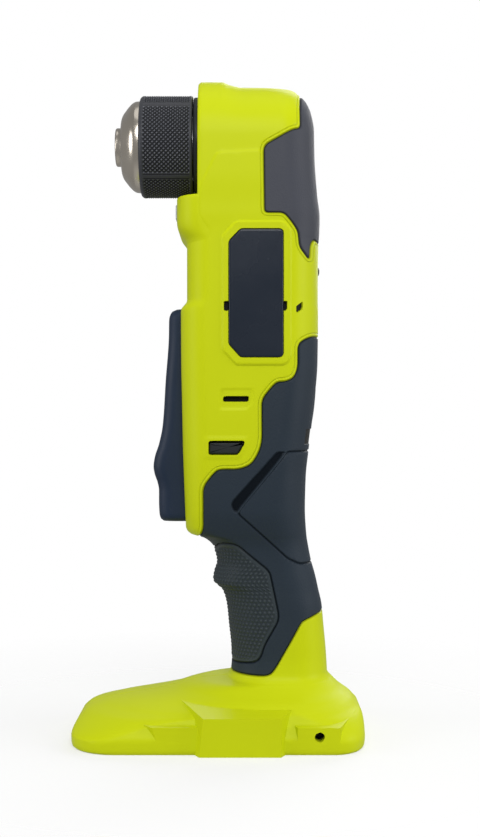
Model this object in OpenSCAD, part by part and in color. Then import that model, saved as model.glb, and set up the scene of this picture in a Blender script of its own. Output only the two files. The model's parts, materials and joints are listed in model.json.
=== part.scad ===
// Cordless right angle drill, millimetres.
// Frame: +Z up, -X toward the chuck, -Y the shown side, origin under the middle of the foot.

/* [Overall] */
// Height of the tool, foot to head collar
tool_h = 246; // [244:0.5:250]
// Depth unit of the body, front to rear
body_d = 50; // [49.6:0.1:52]
// Width of the body at the motor
body_w = 47; // [46.6:0.1:50]
// Thickness of the overmoulded grips
grip_t = 2; // [1.4:0.1:2.2]

/* [Head] */
// Radius of the round collar behind the chuck
collar_r = 24.2; // [23.6:0.1:25]
// Length of the round collar
collar_l = 10; // [8:0.5:12]
// Length of the slope behind the collar
collar_slope_l = 6; // [4:0.5:8]
// Radius where the collar slope ends
collar_end_r = 22; // [21:0.2:23]
// Width of the chin that holds the lamp
chin_w = 46.8; // [44:0.2:48]
// Clearance of the chin round the sleeve
chin_gap = 0.8; // [0.6:0.1:1]
// Width of the lamp lens
lens_w = 7; // [5:0.5:9]
// Height of the lamp lens
lens_h = 6; // [4.5:0.25:7]
// Depth of the lamp lens
lens_d = 2.4; // [1.8:0.1:3]
// Thickness of the lamp board
lamp_board_t = 1.6; // [1:0.1:2]

/* [Foot] */
// Length of the foot
foot_l = 107; // [103:0.5:112]
// Width of the foot without its side bulges
foot_w = 71.2; // [68:0.2:75]
// Height of the foot
foot_h = 24; // [23:0.2:25]
// How far a side bulge stands out
bulge_t = 2.9; // [2:0.1:4]
// Depth of the pan under the foot
pan_depth = 5; // [3:0.5:7]
// Radius of the accessory hole
tether_r = 2; // [1.5:0.1:2.5]
// Depth of the accessory hole
tether_depth = 7; // [5:0.5:9]

/* [Battery socket] */
// Length of the stem socket, front to rear
socket_l = 24; // [20:0.5:25]
// Width of the stem socket
socket_w = 21; // [18:0.5:21.5]
// Depth of the stem socket
socket_depth = 37; // [34:0.5:38]
// Height of the terminal block
block_h = 7; // [5:0.5:8]
// Thickness of one battery terminal
terminal_t = 0.8; // [0.6:0.1:1.2]
// Length of one battery terminal below the block
terminal_h = 4; // [3:0.5:5]
// Width of one battery terminal
terminal_w = 5; // [4:0.5:6]
// Distance between battery terminals
terminal_pitch = 8; // [7:0.5:8.5]
// Radius of one battery lead
lead_r = 1.1; // [0.8:0.1:1.3]
// Distance between battery leads
lead_pitch = 5; // [3:0.5:5.5]

/* [Chuck] */
// Radius of the chuck sleeve
sleeve_r = 19.1; // [18.7:0.1:19.6]
// Length of the chuck sleeve
sleeve_l = 19.2; // [18.8:0.1:19.4]
// Number of fine ribs round the sleeve
sleeve_ribs = 60; // [48:6:72]
// Depth of one sleeve rib
rib_depth = 0.35; // [0.2:0.05:0.5]
// Radius of the sleeve over the nut
sleeve_bore_r = 15.6; // [15.4:0.1:16.2]
// Radius of the chuck body
chuck_r = 12.5; // [12.3:0.1:12.8]
// Radius of the body in the nut groove
groove_r = 9.6; // [9.4:0.1:9.8]
// Radius of the nose where it leaves the sleeve
nose_r = 17.1; // [16.8:0.1:17.3]
// Radius of the small ring at the tip
tip_r = 7.1; // [7:0.05:7.6]
// Length of the small ring at the tip
tip_l = 2.4; // [2:0.1:2.8]
// Length of the domed nose
nose_l = 7.7; // [7.4:0.1:8]
// Radius of the ring behind the sleeve
back_ring_r = 18.5; // [18:0.1:18.8]
// Length of the ring behind the sleeve
back_ring_l = 1.7; // [1.5:0.1:1.8]
// Length of the nose hidden in the sleeve
nose_skirt = 1.4; // [1.2:0.1:1.6]
// Length of the chuck nut
nut_l = 6; // [5:0.2:6.4]
// Free length in front of the chuck nut
nut_gap = 0.4; // [0.3:0.05:0.5]
// Length of the lip behind the sleeve
sleeve_lip_l = 3.6; // [3:0.1:4]
// Length of the spindle end held in the chuck
spindle_grip_l = 8.6; // [7:0.2:9]
// How far the open jaws lie behind the tip
jaw_recess = 6.9; // [6.6:0.1:7.2]
// Jaw metal between its axis and its gripping edge at the tip
jaw_edge = 0.5; // [0.3:0.05:0.6]
// Radius of one jaw
jaw_r = 2.3; // [2.1:0.05:2.4]
// Length of one jaw
jaw_l = 17; // [15:0.5:17.5]
// Radius between the jaws when fully open
jaw_open_r = 5.4; // [5.3:0.05:5.5]
// Travel of one jaw from open to closed
jaw_travel = 14.8; // [12:0.2:14.8]
// Angle of the jaws to the chuck axis
jaw_angle = 20; // [19:0.5:21]
// Radius of the bore of the chuck
bore_r = 5.25; // [5:0.05:5.25]
// Radius of the spindle end inside the chuck
spindle_end_r = 5; // [4.6:0.1:5.1]
// Radius of the chuck screw head
chuck_screw_r = 3.2; // [2.6:0.1:3.6]
// Radius of the chuck screw shank
chuck_screw_shank_r = 1.6; // [1.3:0.1:2]
// Length of the chuck screw shank
chuck_screw_l = 9; // [7:0.5:11]

/* [Gear train] */
// Height of the planet gears
planet_h = 9; // [8:0.5:9.5]
// Radius of one planet pin
planet_pin_r = 2; // [1.6:0.1:2.4]
// Wall outside the ring gear teeth
ring_wall = 1.8; // [1.4:0.1:2]
// Thickness of the planet carrier plate
carrier_t = 4; // [3.5:0.1:4.2]
// Wall between the ring gear and the front of the head
ring_room = 2.63; // [2.4:0.05:2.9]
// Wall between the ring gear and the side of the body
ring_side_room = 4.13; // [3.9:0.05:4.4]
// How far the gearcase stands outside the ring gear
case_lip = 0.13; // [0.1:0.01:0.2]
// Metal of the sun pinion over its shaft
sun_wall = 0.93; // [0.8:0.01:1.1]
// Wall of the gearcase round the bevel chamber
case_wall = 2.7; // [2.5:0.1:2.9]
// Free room round the bevel gear
chamber_gap = 1.8; // [1.6:0.1:2]
// Metal of the bevel pinion over its shaft at the small end
pinion_wall = 1.2; // [1:0.1:1.4]
// Metal between a gearcase screw and the front bearing
screw_wall = 2.47; // [2.2:0.05:2.7]
// Wall between the front bearing and the bevel chamber
bearing_wall = 3.5; // [3:0.1:4]
// Wall between the gearcase tail and the rear grip
tail_wall = 1.65; // [1.4:0.05:2]
// Width of the bevel tooth face
bevel_face = 5; // [4.4:0.1:5.4]
// Length of the pinion hub below its teeth
pinion_hub_h = 3; // [2.6:0.1:3.2]
// Wall of the shell and gearcase at the ends of the spindle
face_wall = 1.4; // [1.2:0.05:1.5]
// Radius of the carrier shaft in its bearing
carrier_shaft_r = 5; // [4.6:0.1:5.4]
// Radius of the pinion bearing
pinion_bearing_r = 11; // [10.5:0.1:11.2]
// Height of the pinion bearing
pinion_bearing_h = 7; // [6.5:0.1:7.2]
// Radius of the spindle in the gearcase
spindle_r = 6; // [5.6:0.1:6.2]
// Radius of the spindle tail
spindle_tail_r = 4; // [3.6:0.1:4.4]
// Radius of the rear spindle bearing
rear_bearing_r = 9.5; // [9:0.1:9.8]
// Outside radius of the gearcase tail
case_tail_r = 13; // [12.5:0.1:13.4]
// Outside radius of the gearcase neck round the pinion
case_neck_r = 13.5; // [13:0.1:14]
// Thickness of the gearcase flange over the ring gear
case_flange_t = 2.4; // [2:0.1:2.6]
// Thickness of the gearcase cover
cover_t = 2.6; // [2.2:0.1:2.8]
// Radius of one gearcase screw
case_screw_r = 1.3; // [1:0.1:1.5]
// Length of one gearcase screw in the case
case_screw_l = 7; // [5:0.5:8]

/* [Motor] */
// Wall between the stator and the rear grip
motor_wall = 3; // [2.8:0.1:3.4]
// Wall between the stator and the side of the body
motor_side_wall = 6.5; // [6.2:0.1:6.8]
// Step from the rotor core down to the motor bearings
bearing_step = 3.2; // [3:0.1:3.6]
// Thickness of the stator across its teeth
stator_t = 5.3; // [5:0.1:5.6]
// Gap between the rotor and the stator
air_gap = 0.5; // [0.4:0.05:0.7]
// Gap between the fan and the shell
fan_clear = 1.6; // [1.2:0.1:2]
// Height of the stator
stator_h = 28; // [27:0.5:28.5]
// Height of one winding end
winding_h = 5; // [4.5:0.1:5.2]
// Width of one winding end
winding_w = 3.8; // [3:0.1:4]
// Height of the motor bearings
motor_bearing_h = 4.5; // [4:0.1:4.6]
// Free height above and below the fan
fan_gap = 1.2; // [1:0.1:1.4]
// Height of the fan
fan_h = 6.5; // [5.5:0.1:7]
// Number of fan blades
fan_blades = 9; // [7:1:11]
// Thickness of one fan blade
blade_t = 1; // [0.8:0.1:1.4]
// Thickness of the motor board
motor_board_t = 1.6; // [1.2:0.1:1.8]
// Thickness of the plate above the fan
motor_plate_t = 6.6; // [6.4:0.1:6.8]

/* [Trigger and switch] */
// Width of the trigger
trigger_w = 21; // [18:0.5:22]
// Radius of the trigger pin
pin_r = 1.3; // [1.2:0.1:1.5]
// Length of the trigger pin
pin_l = 31; // [28:0.5:33]
// Trigger swing in degrees
trigger_swing = 4.6; // [3.5:0.1:4.8]
// Depth of the switch body
switch_d = 17; // [15:0.5:18]
// Width of the switch body
switch_w = 17; // [15:0.5:20]
// Height of the switch body
switch_h = 17; // [15:0.5:18]
// Width of the switch plunger
plunger_w = 6; // [5:0.25:8]
// Height of the switch plunger
plunger_h = 4; // [3:0.25:5]
// Length of the switch plunger
plunger_l = 13.5; // [12.5:0.25:14]
// How far the pushed selector stands proud
selector_proud = 1.4; // [1:0.1:1.6]
// Travel of the direction selector to each side
selector_travel = 2.5; // [2:0.1:3]
// Thickness of the control board
board_t = 1.6; // [1.2:0.1:2]
// Depth of the control board with its parts
board_d = 6; // [5:0.1:6.2]
// Width of the control board
board_w = 22; // [18:0.5:24]

/* [Details] */
// Thickness of the badge plates
badge_t = 1.6; // [1.2:0.1:2]
// How far a badge plate stands proud of its frame
badge_proud = 0.3; // [0.2:0.05:0.5]
// How far the badge frame stands out of the body
frame_proud = 0.7; // [0.4:0.1:1]
// Width of the rear badge plate
rear_badge_w = 10; // [8:0.5:11]
// Height of the rear badge plate
rear_badge_h = 17; // [15:0.5:18]
// How far the selector pad stands out of the body
pad_proud = 0.5; // [0.3:0.1:0.8]
// Depth of the sink round the side vent
vent_sink = 0.5; // [0.3:0.1:0.8]
// Radius of the rear bumper
bumper_r = 2.6; // [2:0.1:3]
// Radius of a housing screw head
screw_head_r = 2.7; // [2.4:0.1:2.9]
// Height of a housing screw head
screw_head_h = 2; // [1.6:0.1:2.4]
// Radius of a housing screw shank
screw_r = 1.45; // [1.2:0.05:1.6]
// Reach of a housing screw past the seam
screw_reach = 8; // [6:0.5:9]

/* [Fits] */
// Running clearance of a shaft or pin
run_gap = 0.05; // [0.03:0.01:0.08]
// Clearance between moving faces
side_gap = 0.35; // [0.3:0.01:0.4]
// Clearance of a fixed seat
seat_gap = 0.04; // [0.02:0.01:0.06]
// Gap between the flanks of meshed teeth
tooth_gap = 0.14; // [0.12:0.01:0.18]
// Overrun of cuts
cut_over = 1; // [0.8:0.1:1.2]

/* [Hidden] */
$fn = 48;

// Height of the spindle, and rear of the shell at the motor and at the spindle
motor_rear_share = 0.72;
spindle_z_share = 0.902;
spindle_rear_share = 0.718;
// Proportions of the shell, each row: height, front, rear, half width, front corner depth and width,
// rear corner depth and width
body_shares = [
  [0.085, 0.09, 0.82, 0.75, 0.28, 0.95, 0.26, 0.9],
  [0.125, 0.1, 0.81, 0.72, 0.28, 0.95, 0.26, 0.9],
  [0.17, 0.08, 0.79, 0.715, 0.28, 0.95, 0.26, 0.9],
  [0.2, 0.065, 0.775, 0.715, 0.28, 0.95, 0.26, 0.9],
  [0.222, 0.03, 0.752, 0.715, 0.28, 0.95, 0.26, 0.9],
  [0.237, -0.04, 0.735, 0.72, 0.28, 0.95, 0.26, 0.9],
  [0.25, -0.03, 0.72, 0.725, 0.28, 0.95, 0.26, 0.9],
  [0.264, -0.01, 0.7, 0.73, 0.28, 0.95, 0.26, 0.9],
  [0.288, -0.04, 0.676, 0.755, 0.26, 0.92, 0.26, 0.9],
  [0.302, -0.11, 0.665, 0.79, 0.24, 0.8, 0.26, 0.9],
  [0.31, -0.22, 0.66, 0.825, 0.22, 0.7, 0.26, 0.9],
  [0.319, -0.27, 0.655, 0.86, 0.2, 0.62, 0.26, 0.88],
  [0.345, -0.28, 0.65, 0.93, 0.2, 0.55, 0.26, 0.88],
  [0.395, -0.28, 0.655, 0.98, 0.2, 0.5, 0.26, 0.86],
  [0.435, -0.28, 0.675, 0.995, 0.2, 0.48, 0.26, 0.85],
  [0.51, -0.28, motor_rear_share, 1, 0.2, 0.48, 0.26, 0.85],
  [0.57, -0.28, 0.745, 1, 0.2, 0.48, 0.26, 0.85],
  [0.653, -0.28, 0.748, 1, 0.2, 0.48, 0.26, 0.85],
  [0.667, -0.245, 0.746, 1, 0.18, 0.46, 0.26, 0.85],
  [0.75, -0.242, 0.75, 1.005, 0.18, 0.44, 0.26, 0.85],
  [0.766, -0.16, 0.755, 1.01, 0.1, 0.25, 0.26, 0.85],
  [0.79, -0.16, 0.76, 1.02, 0.08, 0.18, 0.26, 0.85],
  [0.825, -0.16, 0.74, 1.02, 0.08, 0.18, 0.26, 0.85],
  [0.882, -0.16, 0.72, 1.02, 0.08, 0.18, 0.26, 0.85],
  [spindle_z_share, -0.16, spindle_rear_share, 1.02, 0.08, 0.18, 0.26, 0.85],
  [0.923, -0.16, 0.716, 0.99, 0.08, 0.18, 0.26, 0.85],
  [0.947, -0.16, 0.696, 0.877, 0.08, 0.2, 0.26, 0.85],
  [0.965, -0.16, 0.662, 0.72, 0.08, 0.22, 0.26, 0.85],
  [0.978, -0.16, 0.616, 0.53, 0.08, 0.25, 0.24, 0.85],
  [0.986, -0.15, 0.572, 0.325, 0.08, 0.3, 0.2, 0.85],
  [0.991, -0.13, 0.528, 0.11, 0.06, 0.4, 0.16, 0.85],
];
foot_shares = [
  [0, -0.435, 0.42, 0.95, 0.13, 0.4, 0.12, 0.4],
  [0.1, -0.485, 0.47, 0.98, 0.14, 0.42, 0.12, 0.42],
  [0.23, -0.5, 0.495, 1, 0.15, 0.45, 0.13, 0.45],
  [0.375, -0.486, 0.5, 0.99, 0.24, 0.78, 0.15, 0.55],
  [0.46, -0.46, 0.495, 0.955, 0.32, 0.86, 0.19, 0.7],
  [0.54, -0.41, 0.482, 0.9, 0.46, 1, 0.22, 0.85],
  [0.625, -0.32, 0.468, 0.83, 0.5, 1, 0.22, 0.92],
  [0.685, -0.24, 0.45, 0.77, 0.42, 1, 0.2, 0.95],
  [0.75, -0.168, 0.43, 0.69, 0.33, 1, 0.17, 0.95],
  [0.835, -0.108, 0.41, 0.6, 0.24, 1, 0.15, 0.92],
  [0.88, -0.062, 0.4, 0.565, 0.2, 1, 0.14, 0.91],
  [0.9, -0.005, 0.396, 0.55, 0.16, 1, 0.13, 0.9],
  [0.92, 0.032, 0.392, 0.53, 0.13, 1, 0.13, 0.9],
  [1, 0.041, 0.382, 0.495, 0.12, 0.95, 0.13, 0.9],
];
// Chin under the chuck, rows as in the body
chin_shares = [
  [0.724, -0.21, 0.1, 1, 0.18, 0.44, 0.1, 0.1],
  [0.748, -0.242, 0.1, 1, 0.18, 0.44, 0.1, 0.1],
  [0.756, -0.272, 0.1, 1, 0.18, 0.44, 0.1, 0.1],
  [0.767, -0.304, 0.1, 1, 0.18, 0.44, 0.1, 0.1],
  [0.776, -0.318, 0.1, 1, 0.18, 0.44, 0.1, 0.1],
  [0.82, -0.318, 0.1, 1, 0.18, 0.44, 0.1, 0.1],
  [0.826, -0.296, 0.1, 0.99, 0.18, 0.44, 0.1, 0.1],
];
head_grip_shares = [
  [0.62, 0.988], [0.604, 0.95], [0.604, 0.914], [0.55, 0.911], [0.35, 0.888], [0.332, 0.881],
  [0.338, 0.79], [0.348, 0.787], [0.478, 0.787], [0.538, 0.773], [0.584, 0.76], [0.59, 0.737],
  [0.66, 0.717], [0.68, 0.743], [0.72, 0.738], [0.92, 0.738], [0.92, 0.988],
];
lower_grip_shares = [
  [0.92, 0.606], [0.694, 0.607], [0.584, 0.595], [0.584, 0.558], [0.552, 0.543], [0.486, 0.538],
  [0.422, 0.538], [0.318, 0.512], [0.32, 0.452], [0.3, 0.435], [0.244, 0.416], [0.156, 0.4085],
  [0.012, 0.4085], [-0.022, 0.405], [-0.11, 0.3825], [-0.11, 0.318], [-0.144, 0.303], [-0.44, 0.295],
  [-0.44, 0.1], [0.376, 0.1], [0.42, 0.11], [0.612, 0.178], [0.636, 0.183], [0.76, 0.196], [0.92, 0.202],
];
finger_shares = [
  [-0.48, 0.3], [0.136, 0.3], [0.378, 0.257], [0.394, 0.24], [0.442, 0.192], [0.438, 0.183],
  [0.332, 0.142], [0.3, 0.128], [-0.48, 0.128],
];
palm_shares = [
  [0.92, 0.437], [0.464, 0.437], [0.106, 0.356], [0.108, 0.345], [0.51, 0.272], [0.6, 0.265], [0.92, 0.263],
];
badge_shares = [
  [0.162, 0.573], [0.074, 0.593], [0.074, 0.745], [0.162, 0.764], [0.458, 0.764], [0.478, 0.76],
  [0.478, 0.577], [0.458, 0.573],
];
badge_frame_shares = [
  [0.128, 0.561], [0.024, 0.584], [0.024, 0.754], [0.128, 0.776], [0.48, 0.776], [0.536, 0.764],
  [0.536, 0.572], [0.488, 0.561],
];
trigger_shares = [
  [-0.16, 0.65], [-0.32, 0.65], [-0.364, 0.643], [-0.376, 0.63], [-0.378, 0.6], [-0.4, 0.54],
  [-0.42, 0.474], [-0.456, 0.443], [-0.484, 0.423], [-0.49, 0.41], [-0.482, 0.398], [-0.45, 0.378],
  [-0.442, 0.358], [-0.436, 0.337], [-0.416, 0.33], [-0.38, 0.3276], [-0.26, 0.3276], [-0.248, 0.341],
  [-0.24, 0.366], [-0.236, 0.48], [-0.2, 0.61],
];
// Side outline of the selector
selector_shares = [[-0.064, 0.45], [0.188, 0.45], [0.188, 0.447], [0.144, 0.431], [-0.064, 0.431]];
// Raised pad round the selector and shallow sink round the vent: front, rear, bottom, top
selector_pad_shares = [-0.11, 0.22, 0.422, 0.459];
vent_sink_shares = [0.01, 0.26, 0.496, 0.529];
// Housing screws: place along the depth, height, seat of the head across the width
screw_shares = [
  [-0.15, 0.69, 0.36], [0.63, 0.83, 0.3], [0.62, 0.46, 0.2], [0.27, 0.475, 0.37],
  [0.01, 0.327, 0.27], [0.62, 0.232, 0.18], [-0.72, 0.035, 0.5], [0.93, 0.035, 0.46],
];
// Nose dome: distance from the sleeve, radius
nose_shares = [[0, 1], [0.2, 0.995], [0.4, 0.945], [0.57, 0.87], [0.75, 0.79], [0.88, 0.725], [1, 0.63]];
// Foot pads, each row: front, rear, bottom, top of the base, then the same of the face
bulge_shares = [-0.125, 0.265, 0, 0.66, -0.09, 0.232, 0, 0.56];
ledge_shares = [-0.24, 0.3, 0.02, 0.46, -0.215, 0.28, 0.02, 0.36];
boss_shares = [0.255, 0.445, 0.03, 0.42, 0.262, 0.43, 0.04, 0.38];
ledge_share = 0.35;
boss_share = 0.4;
pan_l_share = 0.8;
pan_w_share = 0.78;
pad_root_share = 0.8;
tether_x_share = 0.339;
tether_z_share = 0.26;
socket_x_share = 0.474;
jaw_apex_share = 0.7;
case_screw_share = 0.86;
plunger_room_share = 0.7;
screw_socket_share = 0.9;
blade_share = 0.94;
hub_share = 0.44;
bevel_hub_share = 0.6;
// Parts on the control board: two edges across, two up, and the height above it
board_part_shares = [
  [-0.4, -0.05, 0.1, 0.4, 0.9], [0.1, 0.4, 0.15, 0.35, 0.7], [-0.35, 0.3, 0.55, 0.85, 0.8],
];
motor_x_share = 0.28;
front_x_share = -0.16;
lens_z_share = 0.8;
lens_x_share = -0.322;
pivot_x_share = -0.235;
pivot_z_share = 0.634;
slot_top_share = 0.653;
slot_low_share = 0.325;
trigger_back_share = -0.24;
plunger_z_share = 0.398;
plunger_x_share = -0.231;
switch_x_share = -0.06;
switch_z_share = 0.388;
board_x_share = 0.45;
board_low_share = 0.333;
board_top_share = 0.463;
rear_badge_x_share = 0.688;
rear_badge_z_share = 0.506;
rear_badge_tilt = 5;
rear_slot_shares = [0.655, 0.447, 0.02];
bumper_x_share = 0.66;
bumper_out_share = 0.764;
bumper_z_share = 0.71;
// Vents: front, rear, bottom, top
vent_shares = [0.036, 0.226, 0.508, 0.517];
badge_slot_shares = [[0.04, 0.072, 0.642, 0.657], [0.48, 0.5, 0.642, 0.657]];
rear_vent_shares = [[0.546, 0.638], [0.546, 0.65], [0.596, 0.657], [0.596, 0.645]];

// Heights between which the shell is skinned for each grip
whole_shares = [0, 1];
head_zone_shares = [0.66, 1];
lower_zone_shares = [0, 0.66];
finger_zone_shares = [0.12, 0.305];
palm_zone_shares = [0.245, 0.52];

arc_steps = 6;
flank_steps = 4;
pressure_angle = 25;
addendum_share = 0.8;
dedendum_share = 1.1;
sun_teeth = 12;
planet_teeth = 18;
ring_teeth = 48;
pinion_teeth = 12;
bevel_teeth = 24;
planet_count = 3;
case_screws = 4;
stator_slots = 12;

spindle_z = tool_h * spindle_z_share;
motor_x = body_d * motor_x_share;
front_x = body_d * front_x_share;
socket_x = body_d * socket_x_share;
pivot_x = body_d * pivot_x_share;
pivot_z = tool_h * pivot_z_share;
side_y = body_w / 2;
slot_low_z = slot_low_share * tool_h;
slot_back_x = trigger_back_share * body_d + (pivot_z - slot_low_z) * sin(trigger_swing);
selector_y = side_y + selector_proud - selector_travel;

ring_out_r = min(motor_x - front_x - ring_room, side_y - ring_side_room);
case_r = ring_out_r + case_lip;
planet_module = (ring_out_r - ring_wall) / (ring_teeth / 2 + dedendum_share);
sun_r = planet_module * sun_teeth / 2;
planet_r = planet_module * planet_teeth / 2;
ring_r = planet_module * ring_teeth / 2;
orbit_r = sun_r + planet_r;
shaft_r = sun_r - dedendum_share * planet_module - sun_wall;
carrier_r = orbit_r + planet_pin_r + ring_wall;
bevel_r = case_r - case_wall - chamber_gap;
chamber_r = bevel_r + chamber_gap;
bevel_module = 2 * bevel_r / bevel_teeth;
pinion_r = bevel_module * pinion_teeth / 2;
front_bearing_r = case_screw_share * case_r - case_screw_r - screw_wall;
pinion_cone = atan(pinion_teeth / bevel_teeth);
bevel_cone = atan(bevel_teeth / pinion_teeth);
cone_l = bevel_r / sin(bevel_cone);
small_share = (cone_l - bevel_face) / cone_l;
pinion_root_r = pinion_r - dedendum_share * bevel_module * cos(pinion_cone);
pinion_bore_r = pinion_root_r * small_share - pinion_wall;

// Motor sizes, from the room between its axis and the rear grip
stator_r = min(motor_rear_share * body_d - grip_t - motor_wall - motor_x, side_y - motor_side_wall);
stator_bore_r = stator_r - stator_t;
rotor_r = stator_bore_r - air_gap;
motor_bearing_r = rotor_r - bearing_step;
fan_r = stator_r - fan_clear;

// Heights of the gear train and motor, from the bevel apex downward
pinion_back_z = spindle_z - bevel_r;
hub_low_z = pinion_back_z - pinion_hub_h;
bearing_top_z = hub_low_z - side_gap;
bearing_low_z = bearing_top_z - pinion_bearing_h;
carrier_top_z = bearing_low_z - side_gap;
carrier_low_z = carrier_top_z - carrier_t;
planet_top_z = carrier_low_z - side_gap;
planet_low_z = planet_top_z - planet_h;
ring_low_z = planet_low_z - side_gap;
plate_low_z = ring_low_z - motor_plate_t;
fan_low_z = plate_low_z - fan_gap - fan_h;
winding_top_z = fan_low_z - fan_gap;
stator_top_z = winding_top_z - winding_h;
stator_low_z = stator_top_z - stator_h;
winding_low_z = stator_low_z - winding_h;
motor_low_z = winding_low_z - motor_board_t;
lower_bearing_z = motor_low_z - motor_bearing_h;

// Places along the spindle, from the gear apex
gear_back_x = motor_x + pinion_r;
tail_end_x = spindle_rear_share * body_d - grip_t - tail_wall;
tail_room = tail_end_x - face_wall - side_gap - gear_back_x;
bevel_hub_l = hub_share * tail_room;
rear_bearing_l = tail_room - bevel_hub_l;
hub_end_x = gear_back_x + bevel_hub_l;
rear_bearing_x = hub_end_x + side_gap;
rear_bearing_end_x = rear_bearing_x + rear_bearing_l;
case_front_x = front_x + face_wall;
chamber_x = motor_x - pinion_r;
front_bearing_x = case_front_x + cover_t;
front_bearing_l = chamber_x - bearing_wall - front_bearing_x;

// Places along the chuck, from the front of the head
ring_back_x = front_x - side_gap;
ring_front_x = ring_back_x - back_ring_l;
sleeve_back_x = ring_front_x - side_gap;
sleeve_front_x = sleeve_back_x - sleeve_l;
nose_front_x = sleeve_front_x - nose_l;
tip_x = nose_front_x - tip_l;
nose_back_x = sleeve_front_x + nose_skirt;
body_front_x = sleeve_front_x - nose_skirt;
groove_front_x = nose_back_x + side_gap + nut_gap;
nut_front_x = groove_front_x + side_gap;
nut_back_x = nut_front_x + nut_l;
groove_back_x = nut_back_x + side_gap;
lip_x = sleeve_back_x - sleeve_lip_l;
jaw_tip_x = tip_x + jaw_recess;
jaw_tip_r = jaw_open_r + jaw_edge;
jaw_out_r = jaw_tip_r + jaw_r / cos(jaw_angle);
wedge_r = jaw_travel * sin(jaw_angle) + side_gap * jaw_apex_share;
bore_end_x = sleeve_back_x - spindle_grip_l;
bore_low_x = bore_end_x - face_wall - side_gap;

// Point lists in shares turned into lengths
function sized(list) = [for (p = list) [p[0] * body_d, p[1] * tool_h]];

function station(row, depth, width, height) = [
  row[0] * height, row[1] * depth, row[2] * depth, row[3] * width / 2,
  row[4] * depth, row[5], row[6] * depth, row[7]
];

// Half of one shell section, front seam to rear seam, taken in by t, with the seam plane at y
function half_ring(s, t, y) = let (f = s[1] + t, r = s[2] - t, w = s[3] - t, fw = w * s[5], rw = w * s[7])
  concat(
    [[f, y, s[0]]],
    [for (i = [0 : arc_steps]) let (a = 90 * i / arc_steps)
      [f + s[4] * (1 - cos(a)), w - fw + fw * sin(a), s[0]]],
    [for (i = [0 : arc_steps]) let (a = 90 * i / arc_steps)
      [r - s[6] + s[6] * sin(a), w - rw + rw * cos(a), s[0]]],
    [[r, y, s[0]]]
  );

// Solid skinned over a stack of half sections
module half_loft(rows, t, y) {
  n = 2 * arc_steps + 4;
  last = len(rows) - 1;
  polyhedron(
    points = [for (s = rows) each half_ring(s, t, y)],
    faces = concat(
      [[for (i = [n - 1 : -1 : 0]) i]],
      [for (j = [0 : last - 1]) for (i = [0 : n - 1]) let (k = (i + 1) % n)
        each [[j * n + i, j * n + k, (j + 1) * n + k], [j * n + i, (j + 1) * n + k, (j + 1) * n + i]]],
      [[for (i = [0 : n - 1]) last * n + i]]
    )
  );
}

// Half of the shell between two heights
module half_shell(t, y, zone) {
  half_loft([for (row = body_shares) if (row[0] >= zone[0] && row[0] <= zone[1])
    station(row, body_d, body_w, tool_h)], t, y);
}

module half_foot() {
  half_loft([for (row = foot_shares) station(row, foot_l, foot_w, foot_h)], 0, 0);
}

// Prism of a side outline between two planes across the width
module side_prism(points, y0, y1) {
  translate([0, y1, 0]) rotate([90, 0, 0]) linear_extrude(y1 - y0) polygon(points);
}

// Box between two corners
module span(a, b) {
  translate(a) cube(b - a);
}

// Turn and place a shape made along Z so that it lies along X on the spindle axis
module on_spindle(x) {
  translate([x, 0, spindle_z]) rotate([0, 90, 0]) children();
}

module on_motor(z) {
  translate([motor_x, 0, z]) children();
}

module ring(r_out, r_in, h) {
  difference() {
    cylinder(r = r_out, h = h);
    translate([0, 0, -cut_over]) cylinder(r = r_in, h = h + 2 * cut_over);
  }
}

function inv_deg(a) = tan(a) * 180 / PI - a;
function flank(r, base, half) = half + inv_deg(pressure_angle) - inv_deg(acos(min(1, base / max(r, base))));
function half_tooth(teeth, pitch, play) = 90 / teeth - play / pitch * 90 / PI;

// Involute gear outline between a root and a tip radius
function gear_points(teeth, pitch, root, tip, half) = let (base = pitch * cos(pressure_angle))
  [for (i = [0 : teeth - 1]) each concat(
    [for (k = [0 : flank_steps]) let (r = root + (tip - root) * k / flank_steps)
      let (a = 360 * i / teeth - flank(r, base, half)) [r * cos(a), r * sin(a)]],
    [for (k = [flank_steps : -1 : 0]) let (r = root + (tip - root) * k / flank_steps)
      let (a = 360 * i / teeth + flank(r, base, half)) [r * cos(a), r * sin(a)]]
  )];

module spur_gear(teeth, h) {
  pitch = planet_module * teeth / 2;
  linear_extrude(h) polygon(gear_points(
    teeth, pitch, pitch - dedendum_share * planet_module, pitch + addendum_share * planet_module,
    half_tooth(teeth, pitch, tooth_gap)
  ));
}

// Straight bevel gear with its apex at the origin and its back toward +Z
module bevel(teeth, cone) {
  pitch = bevel_module * teeth / 2;
  back = pitch / tan(cone);
  wide = pitch / cos(cone);
  base = wide * cos(pressure_angle);
  root = -dedendum_share * bevel_module;
  tip = addendum_share * bevel_module;
  half = 90 * cos(cone) / teeth - tooth_gap / wide * 90 / PI;
  edge = [for (i = [0 : teeth - 1]) for (side = [-1, 1]) for (k = [0 : flank_steps])
    let (s = side < 0 ? k : flank_steps - k, h = root + (tip - root) * s / flank_steps)
    let (a = 360 * i / teeth + side * flank(wide + h, base, half) / cos(cone))
    let (r = pitch + h * cos(cone))
    [r * cos(a), r * sin(a), back - h * sin(cone)]];
  n = len(edge);
  flat = back - root * sin(cone);
  polyhedron(
    points = concat(edge, edge * small_share, [[0, 0, flat], [0, 0, flat * small_share]]),
    faces = [for (i = [0 : n - 1]) let (k = (i + 1) % n)
      each [[n + i, i, k], [n + i, k, n + k], [2 * n, k, i], [2 * n + 1, n + i, n + k]]]
  );
}

// Overmould zone of an outline, down to the core of the shell
module grip_zone(list, zone) {
  difference() {
    side_prism(sized(list), -cut_over / 2, foot_w);
    half_shell(grip_t, -cut_over, zone);
  }
}

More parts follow.
